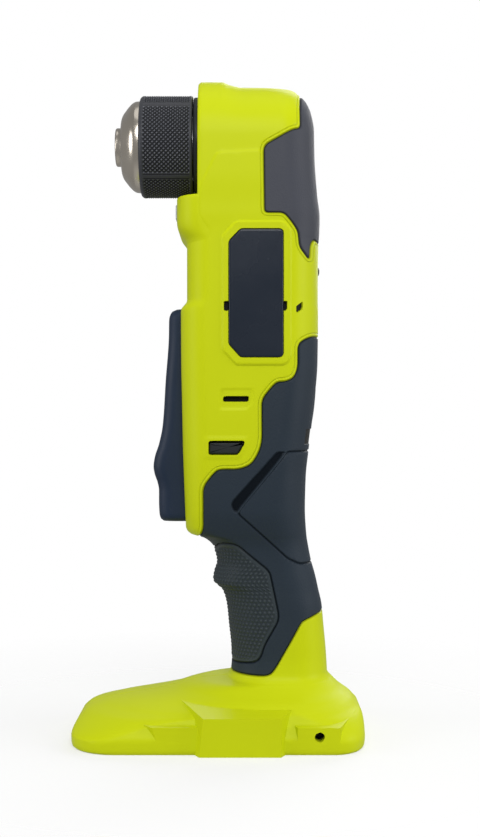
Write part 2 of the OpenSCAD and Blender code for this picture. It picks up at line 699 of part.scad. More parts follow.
// Pad on the side of the foot, from a base rectangle to a smaller face
module foot_pad(s, out) {
  skin = side_gap;
  hull() {
    span([s[0] * foot_l, pad_root_share * foot_w / 2, s[2] * foot_h],
      [s[1] * foot_l, pad_root_share * foot_w / 2 + skin, s[3] * foot_h]);
    span([s[4] * foot_l, foot_w / 2 + out - skin, s[6] * foot_h],
      [s[5] * foot_l, foot_w / 2 + out, s[7] * foot_h]);
  }
}

// Box of a side rectangle between two planes across the width
module side_box(s, y0, y1) {
  span([s[0] * body_d, y0, s[2] * tool_h], [s[1] * body_d, y1, s[3] * tool_h]);
}

module half_collar() {
  intersection() {
    on_spindle(front_x) rotate_extrude() polygon([
      [0, 0], [collar_r - side_gap, 0], [collar_r, side_gap], [collar_r, collar_l],
      [collar_end_r, collar_l + collar_slope_l], [0, collar_l + collar_slope_l]
    ]);
    span([front_x - cut_over, 0, 0], [body_d, body_w, 2 * tool_h]);
  }
}

// One clamshell half on the +Y side, before its pockets are cut
module half_case() {
  difference() {
    union() {
      half_shell(0, 0, whole_shares);
      half_foot();
      half_collar();
      difference() {
        half_loft([for (row = chin_shares) station(row, body_d, chin_w, tool_h)], 0, 0);
        on_spindle(-body_d) cylinder(r = sleeve_r + chin_gap, h = body_d + front_x - side_gap / 2);
      }
      foot_pad(bulge_shares, bulge_t);
      foot_pad(ledge_shares, bulge_t * ledge_share);
      foot_pad(boss_shares, bulge_t * boss_share);
      side_box(selector_pad_shares, side_y - badge_t, side_y + pad_proud);
    }
    grip_zone(head_grip_shares, head_zone_shares);
    grip_zone(lower_grip_shares, lower_zone_shares);
    side_box(vent_sink_shares, side_y - vent_sink, foot_w);
  }
}

module screw_bores() {
  for (s = screw_shares) translate([s[0] * body_d, 0, s[1] * tool_h]) {
    translate([0, s[2] * body_w, 0]) rotate([90, 0, 0])
      cylinder(r = screw_r + seat_gap, h = s[2] * body_w + screw_reach + seat_gap);
    translate([0, foot_w, 0]) rotate([90, 0, 0])
      cylinder(r = screw_head_r + seat_gap, h = foot_w - s[2] * body_w);
  }
}

// Space of the gearcase, grown by a clearance
module case_form(gap) {
  on_spindle(case_front_x - gap) cylinder(r = case_r + gap, h = hub_end_x - case_front_x + 2 * gap);
  on_spindle(motor_x) cylinder(r = case_tail_r + gap, h = tail_end_x - motor_x + gap);
  on_motor(bearing_low_z) cylinder(r = case_neck_r + gap, h = spindle_z - bearing_low_z);
  on_motor(bearing_low_z) cylinder(r = ring_out_r + gap, h = case_flange_t + gap);
}

// Hollows shared by both halves
module inner_bores() {
  case_form(seat_gap);
  on_spindle(front_x - cut_over) cylinder(r = front_bearing_r + seat_gap, h = cut_over + collar_l);
  on_motor(ring_low_z - seat_gap)
    cylinder(r = ring_out_r + seat_gap, h = bearing_low_z - ring_low_z + cut_over);
  on_motor(motor_low_z) cylinder(r = stator_r + seat_gap, h = ring_low_z - motor_low_z + cut_over);
  on_motor(lower_bearing_z) cylinder(r = motor_bearing_r + seat_gap, h = motor_bearing_h + cut_over);
  on_motor(lower_bearing_z - fan_gap) cylinder(r = shaft_r + cut_over, h = fan_gap + cut_over);
}

module inner_boxes() {
  lens_x = lens_x_share * body_d;
  lens_z = lens_z_share * tool_h;
  span([lens_x - cut_over, -lens_w / 2, lens_z - lens_h / 2],
    [lens_x + lens_d + cut_over, lens_w / 2, lens_z + lens_h / 2]);
  span([lens_x + lens_d, -lens_w / 2 - cut_over, lens_z - lens_h / 2 - cut_over],
    [lens_x + lens_d + lamp_board_t, lens_w / 2 + cut_over, lens_z + lens_h / 2 + cut_over]);
  span([-body_d, -trigger_w / 2 - side_gap, slot_low_z],
    [slot_back_x, trigger_w / 2 + side_gap, slot_top_share * tool_h]);
  span([slot_back_x - cut_over, -plunger_w / 2 - side_gap,
    plunger_z_share * tool_h - plunger_h / 2 - side_gap],
    [switch_x_share * body_d + cut_over, plunger_w / 2 + side_gap,
    plunger_z_share * tool_h + plunger_h / 2 + side_gap]);
  span([switch_x_share * body_d - seat_gap, -switch_w / 2 - seat_gap,
    switch_z_share * tool_h - switch_h / 2 - seat_gap],
    [switch_x_share * body_d + switch_d + seat_gap, switch_w / 2 + seat_gap,
    switch_z_share * tool_h + switch_h / 2 + seat_gap]);
  translate([0, foot_w, 0]) rotate([90, 0, 0]) linear_extrude(2 * foot_w)
    offset(delta = side_gap) polygon(sized(selector_shares));
  span([board_x_share * body_d - seat_gap, -board_w / 2 - seat_gap, board_low_share * tool_h],
    [board_x_share * body_d + board_d + seat_gap, board_w / 2 + seat_gap, board_top_share * tool_h]);
  span([socket_x - socket_l / 2, -socket_w / 2, -cut_over],
    [socket_x + socket_l / 2, socket_w / 2, socket_depth]);
  span([socket_x - socket_l / 2 + cut_over, -socket_w / 2 + cut_over, 0],
    [socket_x + socket_l / 2 - cut_over, socket_w / 2 - cut_over, socket_depth + block_h]);
  span([board_x_share * body_d - seat_gap, -lead_pitch - lead_r - cut_over, socket_depth],
    [board_x_share * body_d + 2 * lead_r + cut_over, lead_pitch + lead_r + cut_over,
    board_low_share * tool_h + cut_over]);
  span([-pan_l_share * foot_l / 2, -pan_w_share * foot_w / 2, -cut_over],
    [pan_l_share * foot_l / 2, pan_w_share * foot_w / 2, pan_depth]);
}

module side_vents() {
  side_box(vent_shares, -foot_w, foot_w);
  side_prism(sized(rear_vent_shares), -foot_w, foot_w);
}

// Holes for the trigger pin and the accessory hole of one side
module cross_bores() {
  translate([pivot_x, pin_l / 2, pivot_z]) rotate([90, 0, 0]) cylinder(r = pin_r + seat_gap, h = pin_l);
  for (s = [-1, 1]) translate([tether_x_share * foot_l, s * (foot_w / 2 + bulge_t), tether_z_share * foot_h])
    rotate([s * 90, 0, 0]) cylinder(r = tether_r, h = tether_depth + bulge_t);
}

module rear_cuts() {
  rear_badge_form(seat_gap, body_d);
  translate([bumper_x_share * body_d, 0, bumper_z_share * tool_h]) rotate([0, 90, 0])
    cylinder(r = bumper_r + seat_gap, h = body_d);
  span([rear_slot_shares[0] * body_d, -bumper_r, rear_slot_shares[1] * tool_h],
    [body_d, bumper_r, (rear_slot_shares[1] + rear_slot_shares[2]) * tool_h]);
}

module housing_cuts() {
  inner_bores();
  inner_boxes();
  side_vents();
  cross_bores();
  screw_bores();
  rear_cuts();
}

module side_badge_form(list, y0, y1) {
  side_prism(sized(list), -y1, -y0);
}

module rear_badge_form(gap, depth) {
  w = rear_badge_w / 2 + gap;
  h = rear_badge_h / 2 + gap;
  c = rear_badge_w / 4;
  translate([rear_badge_x_share * body_d, 0, rear_badge_z_share * tool_h]) rotate([0, rear_badge_tilt, 0])
    rotate([90, 0, 90]) linear_extrude(depth) polygon([
      [-w, -h + c], [-w + c, -h], [w - c, -h], [w, -h + c], [w, h - c], [w - c, h], [-w + c, h], [-w, h - c]
    ]);
}

module left_housing() {
  color("YellowGreen") difference() {
    union() {
      mirror([0, 1, 0]) half_case();
      side_badge_form(badge_frame_shares, side_y - badge_t, side_y + frame_proud);
    }
    side_badge_form(badge_shares, side_y + frame_proud + badge_proud - badge_t, foot_w);
    for (s = badge_slot_shares) side_box(s, -foot_w, -side_y + badge_t);
    housing_cuts();
  }
}

module right_housing() {
  color("YellowGreen") difference() {
    half_case();
    housing_cuts();
  }
}

module grip_half(list, zone) {
  intersection() {
    half_shell(0, 0, zone);
    grip_zone(list, zone);
  }
}

module grip_cuts() {
  side_vents();
  screw_bores();
  rear_cuts();
}

module head_grip_half() {
  grip_half(head_grip_shares, head_zone_shares);
}

module handle_grip_half() {
  difference() {
    grip_half(lower_grip_shares, lower_zone_shares);
    side_prism(sized(finger_shares), -cut_over, foot_w);
    side_prism(sized(palm_shares), -cut_over, foot_w);
  }
}

module finger_grip_half() {
  grip_half(finger_shares, finger_zone_shares);
}

module palm_pad_half() {
  grip_half(palm_shares, palm_zone_shares);
}

module left_head_grip() {
  color("DimGray") difference() {
    mirror([0, 1, 0]) head_grip_half();
    grip_cuts();
  }
}

module right_head_grip() {
  color("DimGray") difference() {
    head_grip_half();
    grip_cuts();
  }
}

module left_handle_grip() {
  color("DarkSlateGray") difference() {
    mirror([0, 1, 0]) handle_grip_half();
    grip_cuts();
  }
}

module right_handle_grip() {
  color("DarkSlateGray") difference() {
    handle_grip_half();
    grip_cuts();
  }
}

module left_finger_grip() {
  color("DarkSlateGray") mirror([0, 1, 0]) finger_grip_half();
}

module right_finger_grip() {
  color("DarkSlateGray") finger_grip_half();
}

module left_palm_pad() {
  color("SlateGray") difference() {
    mirror([0, 1, 0]) palm_pad_half();
    grip_cuts();
  }
}

module right_palm_pad() {
  color("SlateGray") difference() {
    palm_pad_half();
    grip_cuts();
  }
}

module side_badge() {
  color("MidnightBlue") side_badge_form(badge_shares, side_y + frame_proud + badge_proud - badge_t,
    side_y + frame_proud + badge_proud);
}

module rear_badge() {
  color("MidnightBlue") rear_badge_form(0, badge_t);
}

module rear_bumper() {
  color("Black") translate([bumper_x_share * body_d, 0, bumper_z_share * tool_h]) rotate([0, 90, 0])
    cylinder(r = bumper_r, h = (bumper_out_share - bumper_x_share) * body_d);
}

module lamp_lens() {
  lens_x = lens_x_share * body_d;
  lens_z = lens_z_share * tool_h;
  color("Gainsboro") span([lens_x, -lens_w / 2 + seat_gap, lens_z - lens_h / 2 + seat_gap],
    [lens_x + lens_d, lens_w / 2 - seat_gap, lens_z + lens_h / 2 - seat_gap]);
}

module lamp_board() {
  lens_x = lens_x_share * body_d + lens_d;
  lens_z = lens_z_share * tool_h;
  color("DarkGreen") span(
    [lens_x, -lens_w / 2 - cut_over + seat_gap, lens_z - lens_h / 2 - cut_over + seat_gap],
    [lens_x + lamp_board_t, lens_w / 2 + cut_over - seat_gap, lens_z + lens_h / 2 + cut_over - seat_gap]);
}

module case_screw_places() {
  for (i = [0 : case_screws - 1]) on_spindle(case_front_x) rotate([0, 0, 45 + 360 * i / case_screws])
    translate([case_screw_share * case_r, 0, 0]) children();
}

module gearcase() {
  color("Silver") difference() {
    case_form(0);
    on_spindle(case_front_x - cut_over) cylinder(r = case_r + cut_over, h = cover_t + cut_over);
    on_spindle(front_bearing_x - cut_over) cylinder(r = front_bearing_r, h = front_bearing_l + cut_over);
    on_spindle(front_bearing_x)
      cylinder(r = spindle_r + cut_over, h = chamber_x - front_bearing_x + cut_over);
    on_spindle(chamber_x) cylinder(r = chamber_r, h = hub_end_x - chamber_x);
    on_spindle(hub_end_x - cut_over)
      cylinder(r = rear_bearing_r, h = rear_bearing_end_x - hub_end_x + cut_over);
    on_motor(bearing_low_z - cut_over) cylinder(r = pinion_bearing_r, h = pinion_bearing_h + cut_over);
    on_motor(bearing_low_z) cylinder(r = pinion_r + bevel_module + cut_over / 2, h = bevel_r);
    case_screw_places() cylinder(r = case_screw_r + seat_gap, h = cover_t + case_screw_l);
  }
}

module gearcase_cover() {
  color("Gray") difference() {
    union() {
      on_spindle(case_front_x) cylinder(r = case_r, h = cover_t);
      on_spindle(front_x) cylinder(r = front_bearing_r, h = face_wall + cover_t);
    }
    on_spindle(front_x - cut_over) cylinder(r = spindle_r + cut_over, h = face_wall + cover_t + 2 * cut_over);
    case_screw_places() cylinder(r = case_screw_r + seat_gap, h = cover_t + cut_over);
  }
}

module gearcase_screws() {
  color("DimGray") case_screw_places() cylinder(r = case_screw_r, h = cover_t + case_screw_l - seat_gap);
}

module ring_gear() {
  color("LightSteelBlue") on_motor(ring_low_z) difference() {
    cylinder(r = ring_out_r, h = bearing_low_z - ring_low_z);
    translate([0, 0, -cut_over]) rotate([0, 0, 180 / ring_teeth])
      linear_extrude(bearing_low_z - ring_low_z + 2 * cut_over) polygon(gear_points(
        ring_teeth, ring_r, ring_r - addendum_share * planet_module, ring_r + dedendum_share * planet_module,
        half_tooth(ring_teeth, ring_r, -tooth_gap)
      ));
  }
}

module front_bearing() {
  color("SteelBlue") on_spindle(front_bearing_x) ring(front_bearing_r, spindle_r + run_gap, front_bearing_l);
}

module rear_bearing() {
  color("SteelBlue") on_spindle(rear_bearing_x)
    ring(rear_bearing_r, spindle_tail_r + run_gap, rear_bearing_l);
}

module pinion_bearing() {
  color("SteelBlue") on_motor(bearing_low_z)
    ring(pinion_bearing_r, carrier_shaft_r + run_gap, pinion_bearing_h);
}

module motor_plate() {
  color("Gray") on_motor(plate_low_z) difference() {
    cylinder(r = stator_r, h = motor_plate_t);
    translate([0, 0, -cut_over]) cylinder(r = motor_bearing_r, h = motor_bearing_h + cut_over);
    cylinder(r = sun_r + cut_over, h = motor_plate_t + cut_over);
  }
}

module motor_stator() {
  color("SlateGray") on_motor(stator_low_z) difference() {
    cylinder(r = stator_r, h = stator_h);
    translate([0, 0, -cut_over]) cylinder(r = stator_bore_r, h = stator_h + 2 * cut_over);
    for (i = [0 : stator_slots - 1]) rotate([0, 0, 360 * i / stator_slots])
      translate([0, -blade_t / 2, -cut_over])
        cube([stator_bore_r + cut_over, blade_t, stator_h + 2 * cut_over]);
  }
}

module stator_windings() {
  color("Chocolate") for (z = [winding_low_z, stator_top_z])
    on_motor(z) ring(stator_bore_r + cut_over / 2 + winding_w, stator_bore_r + cut_over / 2, winding_h);
}

module motor_board() {
  color("DarkGreen") on_motor(motor_low_z) ring(stator_r, motor_bearing_r + cut_over, motor_board_t);
}

module upper_motor_bearing() {
  color("SteelBlue") on_motor(plate_low_z) ring(motor_bearing_r, shaft_r + run_gap, motor_bearing_h);
}

module lower_motor_bearing() {
  color("SteelBlue") on_motor(lower_bearing_z) ring(motor_bearing_r, shaft_r + run_gap, motor_bearing_h);
}

module switch_body() {
  x = switch_x_share * body_d;
  z = switch_z_share * tool_h;
  zp = plunger_z_share * tool_h;
  color("DarkSlateGray") difference() {
    span([x, -switch_w / 2, z - switch_h / 2], [x + switch_d, switch_w / 2, z + switch_h / 2]);
    span([x - cut_over, -plunger_w / 2 - side_gap, zp - plunger_h / 2 - side_gap],
      [x + switch_d * plunger_room_share, plunger_w / 2 + side_gap, zp + plunger_h / 2 + side_gap]);
  }
}

module control_board() {
  x = board_x_share * body_d;
  z0 = board_low_share * tool_h;
  z1 = board_top_share * tool_h;
  color("DarkGreen") {
    span([x, -board_w / 2, z0], [x + board_t, board_w / 2, z1]);
    for (s = board_part_shares) span([x, s[0] * board_w, z0 + s[2] * (z1 - z0)],
      [x + s[4] * board_d, s[1] * board_w, z0 + s[3] * (z1 - z0)]);
  }
}

module terminal_block() {
  color("DarkSlateGray") span(
    [socket_x - socket_l / 2 + cut_over + seat_gap, -socket_w / 2 + cut_over + seat_gap, socket_depth],
    [socket_x + socket_l / 2 - cut_over - seat_gap, socket_w / 2 - cut_over - seat_gap,
    socket_depth + block_h]);
}

module battery_terminals() {
  color("Goldenrod") for (i = [-1, 0, 1]) span(
    [socket_x + i * terminal_pitch - terminal_t / 2, -terminal_w / 2, socket_depth - terminal_h],
    [socket_x + i * terminal_pitch + terminal_t / 2, terminal_w / 2, socket_depth]);
}

module battery_leads() {
  color("Firebrick") for (i = [-1, 0, 1])
    translate([board_x_share * body_d + lead_r, i * lead_pitch, socket_depth + block_h])
      cylinder(r = lead_r, h = board_low_share * tool_h - socket_depth - block_h);
}

module trigger_pin() {
  color("Silver") translate([pivot_x, pin_l / 2, pivot_z]) rotate([90, 0, 0]) cylinder(r = pin_r, h = pin_l);
}

module housing_screws() {
  color("DimGray") for (s = screw_shares) translate([s[0] * body_d, 0, s[1] * tool_h]) {
    translate([0, s[2] * body_w + screw_head_h / 2, 0]) rotate([90, 0, 0])
      cylinder(r = screw_r, h = s[2] * body_w + screw_head_h / 2 + screw_reach);
    translate([0, s[2] * body_w + screw_head_h, 0]) rotate([90, 0, 0])
      ring(screw_head_r, screw_r * screw_socket_share, screw_head_h);
  }
}

module rotor_shaft() {
  color("Silver") on_motor(lower_bearing_z - fan_gap / 2)
    cylinder(r = shaft_r, h = planet_top_z - lower_bearing_z + fan_gap / 2);
}

module rotor_core() {
  color("DimGray") on_motor(stator_low_z) ring(rotor_r, shaft_r, stator_h);
}

module fan() {
  color("Black") on_motor(fan_low_z) {
    ring(shaft_r + fan_gap + blade_t, shaft_r, fan_h);
    ring(fan_r, shaft_r, blade_t);
    for (i = [0 : fan_blades - 1]) rotate([0, 0, 360 * i / fan_blades])
      translate([shaft_r + fan_gap, -blade_t / 2, 0])
        cube([(fan_r - shaft_r - fan_gap) * blade_share, blade_t, fan_h]);
  }
}

module sun_pinion() {
  color("LightSteelBlue") on_motor(ring_low_z) difference() {
    spur_gear(sun_teeth, planet_top_z - ring_low_z);
    translate([0, 0, -cut_over]) cylinder(r = shaft_r, h = planet_top_z - ring_low_z + 2 * cut_over);
  }
}

module planet_carrier() {
  color("Gray") {
    on_motor(carrier_low_z) cylinder(r = carrier_r, h = carrier_t);
    on_motor(carrier_low_z) cylinder(r = carrier_shaft_r, h = hub_low_z - carrier_low_z);
    on_motor(carrier_low_z)
      cylinder(r = pinion_bore_r, h = spindle_z - carrier_low_z - bevel_r * small_share);
    for (i = [0 : planet_count - 1]) on_motor(planet_low_z) rotate([0, 0, 360 * i / planet_count])
      translate([orbit_r, 0, 0]) cylinder(r = planet_pin_r, h = carrier_low_z - planet_low_z + cut_over);
  }
}

module bevel_pinion() {
  color("LightSteelBlue") difference() {
    union() {
      on_motor(spindle_z) rotate([180, 0, 0]) bevel(pinion_teeth, pinion_cone);
      on_motor(hub_low_z) cylinder(r = pinion_r - bevel_module, h = pinion_hub_h);
    }
    on_motor(hub_low_z - cut_over) cylinder(r = pinion_bore_r, h = bevel_r);
  }
}

module planet_gear(i) {
  color("LightSteelBlue") on_motor(planet_low_z) rotate([0, 0, 360 * i / planet_count])
    translate([orbit_r, 0, 0]) difference() {
      rotate([0, 0, 180 / planet_teeth]) spur_gear(planet_teeth, planet_h);
      translate([0, 0, -cut_over]) cylinder(r = planet_pin_r + run_gap, h = planet_h + 2 * cut_over);
    }
}

module planet_gear_1() {
  planet_gear(0);
}

module planet_gear_2() {
  planet_gear(1);
}

module planet_gear_3() {
  planet_gear(2);
}

module spindle() {
  color("Silver") difference() {
    union() {
      on_spindle(bore_end_x) cylinder(r = spindle_end_r, h = hub_end_x - bore_end_x);
      on_spindle(ring_back_x) cylinder(r = spindle_r, h = hub_end_x - ring_back_x);
      on_spindle(ring_back_x) cylinder(r = spindle_tail_r, h = rear_bearing_end_x - ring_back_x);
    }
    on_spindle(bore_end_x - cut_over) cylinder(r = chuck_screw_shank_r, h = chuck_screw_l + cut_over);
  }
}

module bevel_gear() {
  color("LightSteelBlue") difference() {
    union() {
      on_spindle(motor_x) rotate([0, 0, 180 / bevel_teeth]) bevel(bevel_teeth, bevel_cone);
      on_spindle(gear_back_x) cylinder(r = bevel_r * bevel_hub_share, h = bevel_hub_l);
    }
    on_spindle(motor_x) cylinder(r = spindle_r, h = hub_end_x);
  }
}

// Place a shape on the axis of one jaw, its tip at the origin and its tail toward +Z
module on_jaw(i) {
  translate([0, 0, spindle_z]) rotate([360 * i / 3, 0, 0]) translate([jaw_tip_x, 0, jaw_tip_r])
    rotate([0, 90 - jaw_angle, 0]) children();
}

module jaw_bores() {
  for (i = [0 : 2]) on_jaw(i) translate([0, 0, -jaw_l])
    cylinder(r = jaw_r + run_gap, h = 2 * jaw_l + cut_over);
}

module chuck_body() {
  color("DimGray") difference() {
    on_spindle(body_front_x) rotate_extrude() polygon([
      [0, 0], [chuck_r, 0], [chuck_r, groove_front_x - body_front_x],
      [groove_r, groove_front_x - body_front_x],
      [groove_r, groove_back_x - body_front_x], [chuck_r, groove_back_x - body_front_x],
      [chuck_r, ring_front_x - body_front_x], [chuck_r - face_wall, ring_front_x - body_front_x],
      [chuck_r - face_wall, ring_back_x - body_front_x], [0, ring_back_x - body_front_x]
    ]);
    on_spindle(body_front_x - cut_over) cylinder(r = bore_r, h = bore_low_x - body_front_x + cut_over);
    on_spindle(body_front_x) cylinder(r = spindle_end_r, h = body_d);
    jaw_bores();
  }
}

module chuck_nose() {
  color("LightGray") difference() {
    on_spindle(0) rotate_extrude() polygon(concat(
      [[0, tip_x], [tip_r - side_gap, tip_x], [tip_r, tip_x + side_gap], [tip_r, nose_front_x]],
      [for (i = [len(nose_shares) - 1 : -1 : 0]) let (p = nose_shares[i])
        [nose_r * p[1], sleeve_front_x - nose_l * p[0]]],
      [[nose_r, nose_back_x], [chuck_r, nose_back_x], [chuck_r, body_front_x], [0, body_front_x]]
    ));
    on_spindle(tip_x - cut_over) cylinder(r = bore_r, h = body_front_x - tip_x + 2 * cut_over);
    jaw_bores();
  }
}

module chuck_back_ring() {
  color("DarkSlateGray") on_spindle(ring_front_x) ring(back_ring_r, chuck_r - face_wall, back_ring_l);
}

module chuck_screw() {
  color("Silver") {
    on_spindle(bore_end_x - face_wall) cylinder(r = chuck_screw_r, h = face_wall);
    on_spindle(bore_end_x - face_wall) cylinder(r = chuck_screw_shank_r, h = face_wall + chuck_screw_l);
  }
}

module chuck_sleeve() {
  color("Black") on_spindle(sleeve_front_x) difference() {
    intersection() {
      linear_extrude(sleeve_l) polygon([for (i = [0 : 2 * sleeve_ribs - 1]) let (a = 180 * i / sleeve_ribs)
        let (r = sleeve_r - (i % 2) * rib_depth) [r * cos(a), r * sin(a)]]);
      rotate_extrude() polygon([
        [0, 0], [sleeve_r - face_wall, 0], [sleeve_r, face_wall], [sleeve_r, sleeve_l - side_gap],
        [sleeve_r - side_gap, sleeve_l], [0, sleeve_l]
      ]);
    }
    translate([0, 0, -cut_over]) cylinder(r = nose_r + side_gap, h = cut_over + nose_skirt + side_gap);
    cylinder(r = sleeve_bore_r, h = lip_x - sleeve_front_x);
    cylinder(r = chuck_r + run_gap, h = sleeve_l + cut_over);
  }
}

module chuck_nut() {
  slope = tan(jaw_angle);
  color("Gray") on_spindle(nut_front_x) rotate_extrude() polygon([
    [jaw_out_r + side_gap + (nut_front_x - jaw_tip_x) * slope, 0], [sleeve_bore_r, 0], [sleeve_bore_r, nut_l],
    [jaw_out_r + side_gap + (nut_back_x - jaw_tip_x) * slope, nut_l]
  ]);
}

module jaw(i) {
  color("Silver") intersection() {
    on_jaw(i) cylinder(r = jaw_r, h = jaw_l);
    translate([tip_x, 0, spindle_z]) rotate([360 * i / 3, 0, 0]) rotate([90, 0, 90]) linear_extrude(jaw_l * 2)
      polygon([
        [-(jaw_open_r - wedge_r) * tan(60), jaw_open_r], [(jaw_open_r - wedge_r) * tan(60), jaw_open_r],
        [jaw_l * tan(60), wedge_r + jaw_l], [-jaw_l * tan(60), wedge_r + jaw_l]
      ]);
  }
}

module jaw_1() {
  jaw(0);
}

module jaw_2() {
  jaw(1);
}

module jaw_3() {
  jaw(2);
}

module trigger() {
  color("DarkSlateGray") difference() {
    side_prism(sized(trigger_shares), -trigger_w / 2, trigger_w / 2);
    translate([pivot_x, pin_l, pivot_z]) rotate([90, 0, 0]) cylinder(r = pin_r + run_gap, h = 2 * pin_l);
  }
}

module switch_plunger() {
  x = plunger_x_share * body_d;
  z = plunger_z_share * tool_h;
  color("Black") span([x, -plunger_w / 2, z - plunger_h / 2],
    [x + plunger_l, plunger_w / 2, z + plunger_h / 2]);
}

module direction_selector() {
  color("DarkSlateGray") side_prism(sized(selector_shares), -selector_y, selector_y);
}

left_housing();
right_housing();
left_head_grip();
right_head_grip();
left_handle_grip();
right_handle_grip();
left_finger_grip();
right_finger_grip();
left_palm_pad();
right_palm_pad();
side_badge();
rear_badge();
rear_bumper();
lamp_lens();
lamp_board();
gearcase();
gearcase_cover();
gearcase_screws();
ring_gear();
front_bearing();
rear_bearing();
pinion_bearing();
motor_plate();
motor_stator();
stator_windings();
motor_board();
upper_motor_bearing();
lower_motor_bearing();
switch_body();
control_board();
terminal_block();
battery_terminals();
battery_leads();
trigger_pin();
housing_screws();
rotor_shaft();
rotor_core();
fan();
sun_pinion();
planet_carrier();
bevel_pinion();
planet_gear_1();
planet_gear_2();
planet_gear_3();
spindle();
bevel_gear();
chuck_body();
chuck_nose();
chuck_back_ring();
chuck_screw();
chuck_sleeve();
chuck_nut();
jaw_1();
jaw_2();
jaw_3();
trigger();
switch_plunger();
direction_selector();
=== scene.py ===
import json
import math
from types import SimpleNamespace
import bmesh
import bpy
import numpy as np
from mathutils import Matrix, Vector

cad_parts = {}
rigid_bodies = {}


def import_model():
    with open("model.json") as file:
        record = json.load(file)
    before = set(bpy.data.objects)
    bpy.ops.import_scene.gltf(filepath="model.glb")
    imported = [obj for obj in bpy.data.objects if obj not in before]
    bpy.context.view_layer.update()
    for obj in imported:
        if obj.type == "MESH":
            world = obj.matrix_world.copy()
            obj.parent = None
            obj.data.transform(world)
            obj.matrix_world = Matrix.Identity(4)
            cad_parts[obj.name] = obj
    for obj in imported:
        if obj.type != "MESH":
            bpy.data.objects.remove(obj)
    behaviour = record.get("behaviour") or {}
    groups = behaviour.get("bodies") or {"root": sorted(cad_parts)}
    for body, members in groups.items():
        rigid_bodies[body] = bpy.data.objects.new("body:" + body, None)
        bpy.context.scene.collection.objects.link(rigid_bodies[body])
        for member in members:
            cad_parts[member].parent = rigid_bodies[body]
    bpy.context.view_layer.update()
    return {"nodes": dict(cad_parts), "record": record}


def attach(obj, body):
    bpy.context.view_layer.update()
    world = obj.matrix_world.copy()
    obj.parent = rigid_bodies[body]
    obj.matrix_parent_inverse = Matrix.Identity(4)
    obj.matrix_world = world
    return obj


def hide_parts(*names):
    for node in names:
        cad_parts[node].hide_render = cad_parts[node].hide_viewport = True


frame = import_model()

mm = 0.001  # sizes of pieces are in millimetres, those of materials and lights in metres
tiny = 1e-9  # keeps a divisor away from zero


# Soft step from 0 at a to 1 at b: 3s^2 - 2s^3 of the clipped share s
def softStep(v, a, b):
    s = np.clip((v - a) / (b - a), 0, 1)
    return s * s * (3 - 2 * s)


# Monotone cubic through a table's rows: a slope is the weighted harmonic mean of the chords beside it, 0 at a turn
def softRows(t, table):
    table = np.asarray(table, float)
    ts, rows = table[:, 0], table[:, 1:]
    h = np.diff(ts)[:, None]
    d = np.diff(rows, axis=0) / h
    w1, w2 = 2 * h[1:] + h[:-1], h[1:] + 2 * h[:-1]
    turn = d[:-1] * d[1:] <= 0
    a, b = np.where(turn, 1, d[:-1]), np.where(turn, 1, d[1:])
    slope = np.vstack([d[:1], np.where(turn, 0, (w1 + w2) / (w1 / a + w2 / b)), d[-1:]])
    i = np.clip(np.searchsorted(ts, t, side="right") - 1, 0, len(h) - 1)
    s, hi = ((t - ts[i]) / h[i, 0])[:, None], h[i]
    return (
        rows[i] * (1 + 2 * s) * (1 - s) ** 2 + rows[i + 1] * s * s * (3 - 2 * s)
        + hi * slope[i] * s * (1 - s) ** 2 + hi * slope[i + 1] * s * s * (s - 1)
    )


# Quarter round: 1 - cos and 1 - sin of an angle up to a right angle, times the radius
def quarterRound(radius, rows=7):
    q = np.linspace(0, np.pi / 2, rows)
    return radius * (1 - np.cos(q)), radius * (1 - np.sin(q))


# Corner cut of a flat outline: a quadratic curve between points on both edges, a radius or "most" of an edge away
def roundOutline(points, radius, steps=6, most=0.45):
    p = np.asarray(points, float)
    a, b = np.roll(p, 1, 0) - p, np.roll(p, -1, 0) - p
    la, lb = np.linalg.norm(a, axis=1), np.linalg.norm(b, axis=1)
    pa = p + a * (np.minimum(radius, most * la) / la)[:, None]
    pb = p + b * (np.minimum(radius, most * lb) / lb)[:, None]
    t = np.linspace(0, 1, steps)[None, :, None]
    curves = (1 - t) ** 2 * pa[:, None] + 2 * t * (1 - t) * p[:, None] + t * t * pb[:, None]
    return curves.reshape(-1, 2)


# Signed distance to a flat outline, negative inside: nearest edge by clipped projection, side by counting crossings
def outlineField(x, z, outline):
    p = np.asarray(outline, float)
    e = np.roll(p, -1, 0) - p
    dx, dz = x[:, None] - p[:, 0], z[:, None] - p[:, 1]
    t = np.clip((dx * e[:, 0] + dz * e[:, 1]) / np.maximum((e ** 2).sum(1), tiny), 0, 1)
    dist = np.sqrt(((dx - t * e[:, 0]) ** 2 + (dz - t * e[:, 1]) ** 2).min(1))
    above = (p[:, 1] > z[:, None]) != ((p + e)[:, 1] > z[:, None])
    hit = x[:, None] < p[:, 0] + dz * e[:, 0] / np.where(e[:, 1] == 0, tiny, e[:, 1])
    return np.where((above & hit).sum(1) % 2 == 1, -dist, dist)


# Triangles of a grid of rows by columns, two to a cell, closed round the columns and the rows if asked
def gridTriangles(rows, cols, closed=False, looped=False):
    i, j = np.arange(rows if looped else rows - 1)[:, None], np.arange(cols if closed else cols - 1)
    i2, j2 = (i + 1) % rows, (j + 1) % cols
    a, b, c, d = [(r * cols + s).ravel() for r, s in ((i, j), (i, j2), (i2, j2), (i2, j))]
    return np.vstack([np.stack([a, b, c], 1), np.stack([a, c, d], 1)])


# A sheet has points, triangles, and fields that every point carries
def sheetOf(points, triangles, **fields):
    return SimpleNamespace(p=np.asarray(points, float), t=np.asarray(triangles), f=fields)


def edgesOf(t):
    return np.vstack([t[:, [0, 1]], t[:, [1, 2]], t[:, [2, 0]]])


# Ends of every edge once, and which of these edges each given pair is
def sortedEdges(pairs, count):
    key, back = np.unique(np.sort(pairs, 1) @ np.array([count, 1]), return_inverse=True)
    return key // count, key % count, back.reshape(-1)


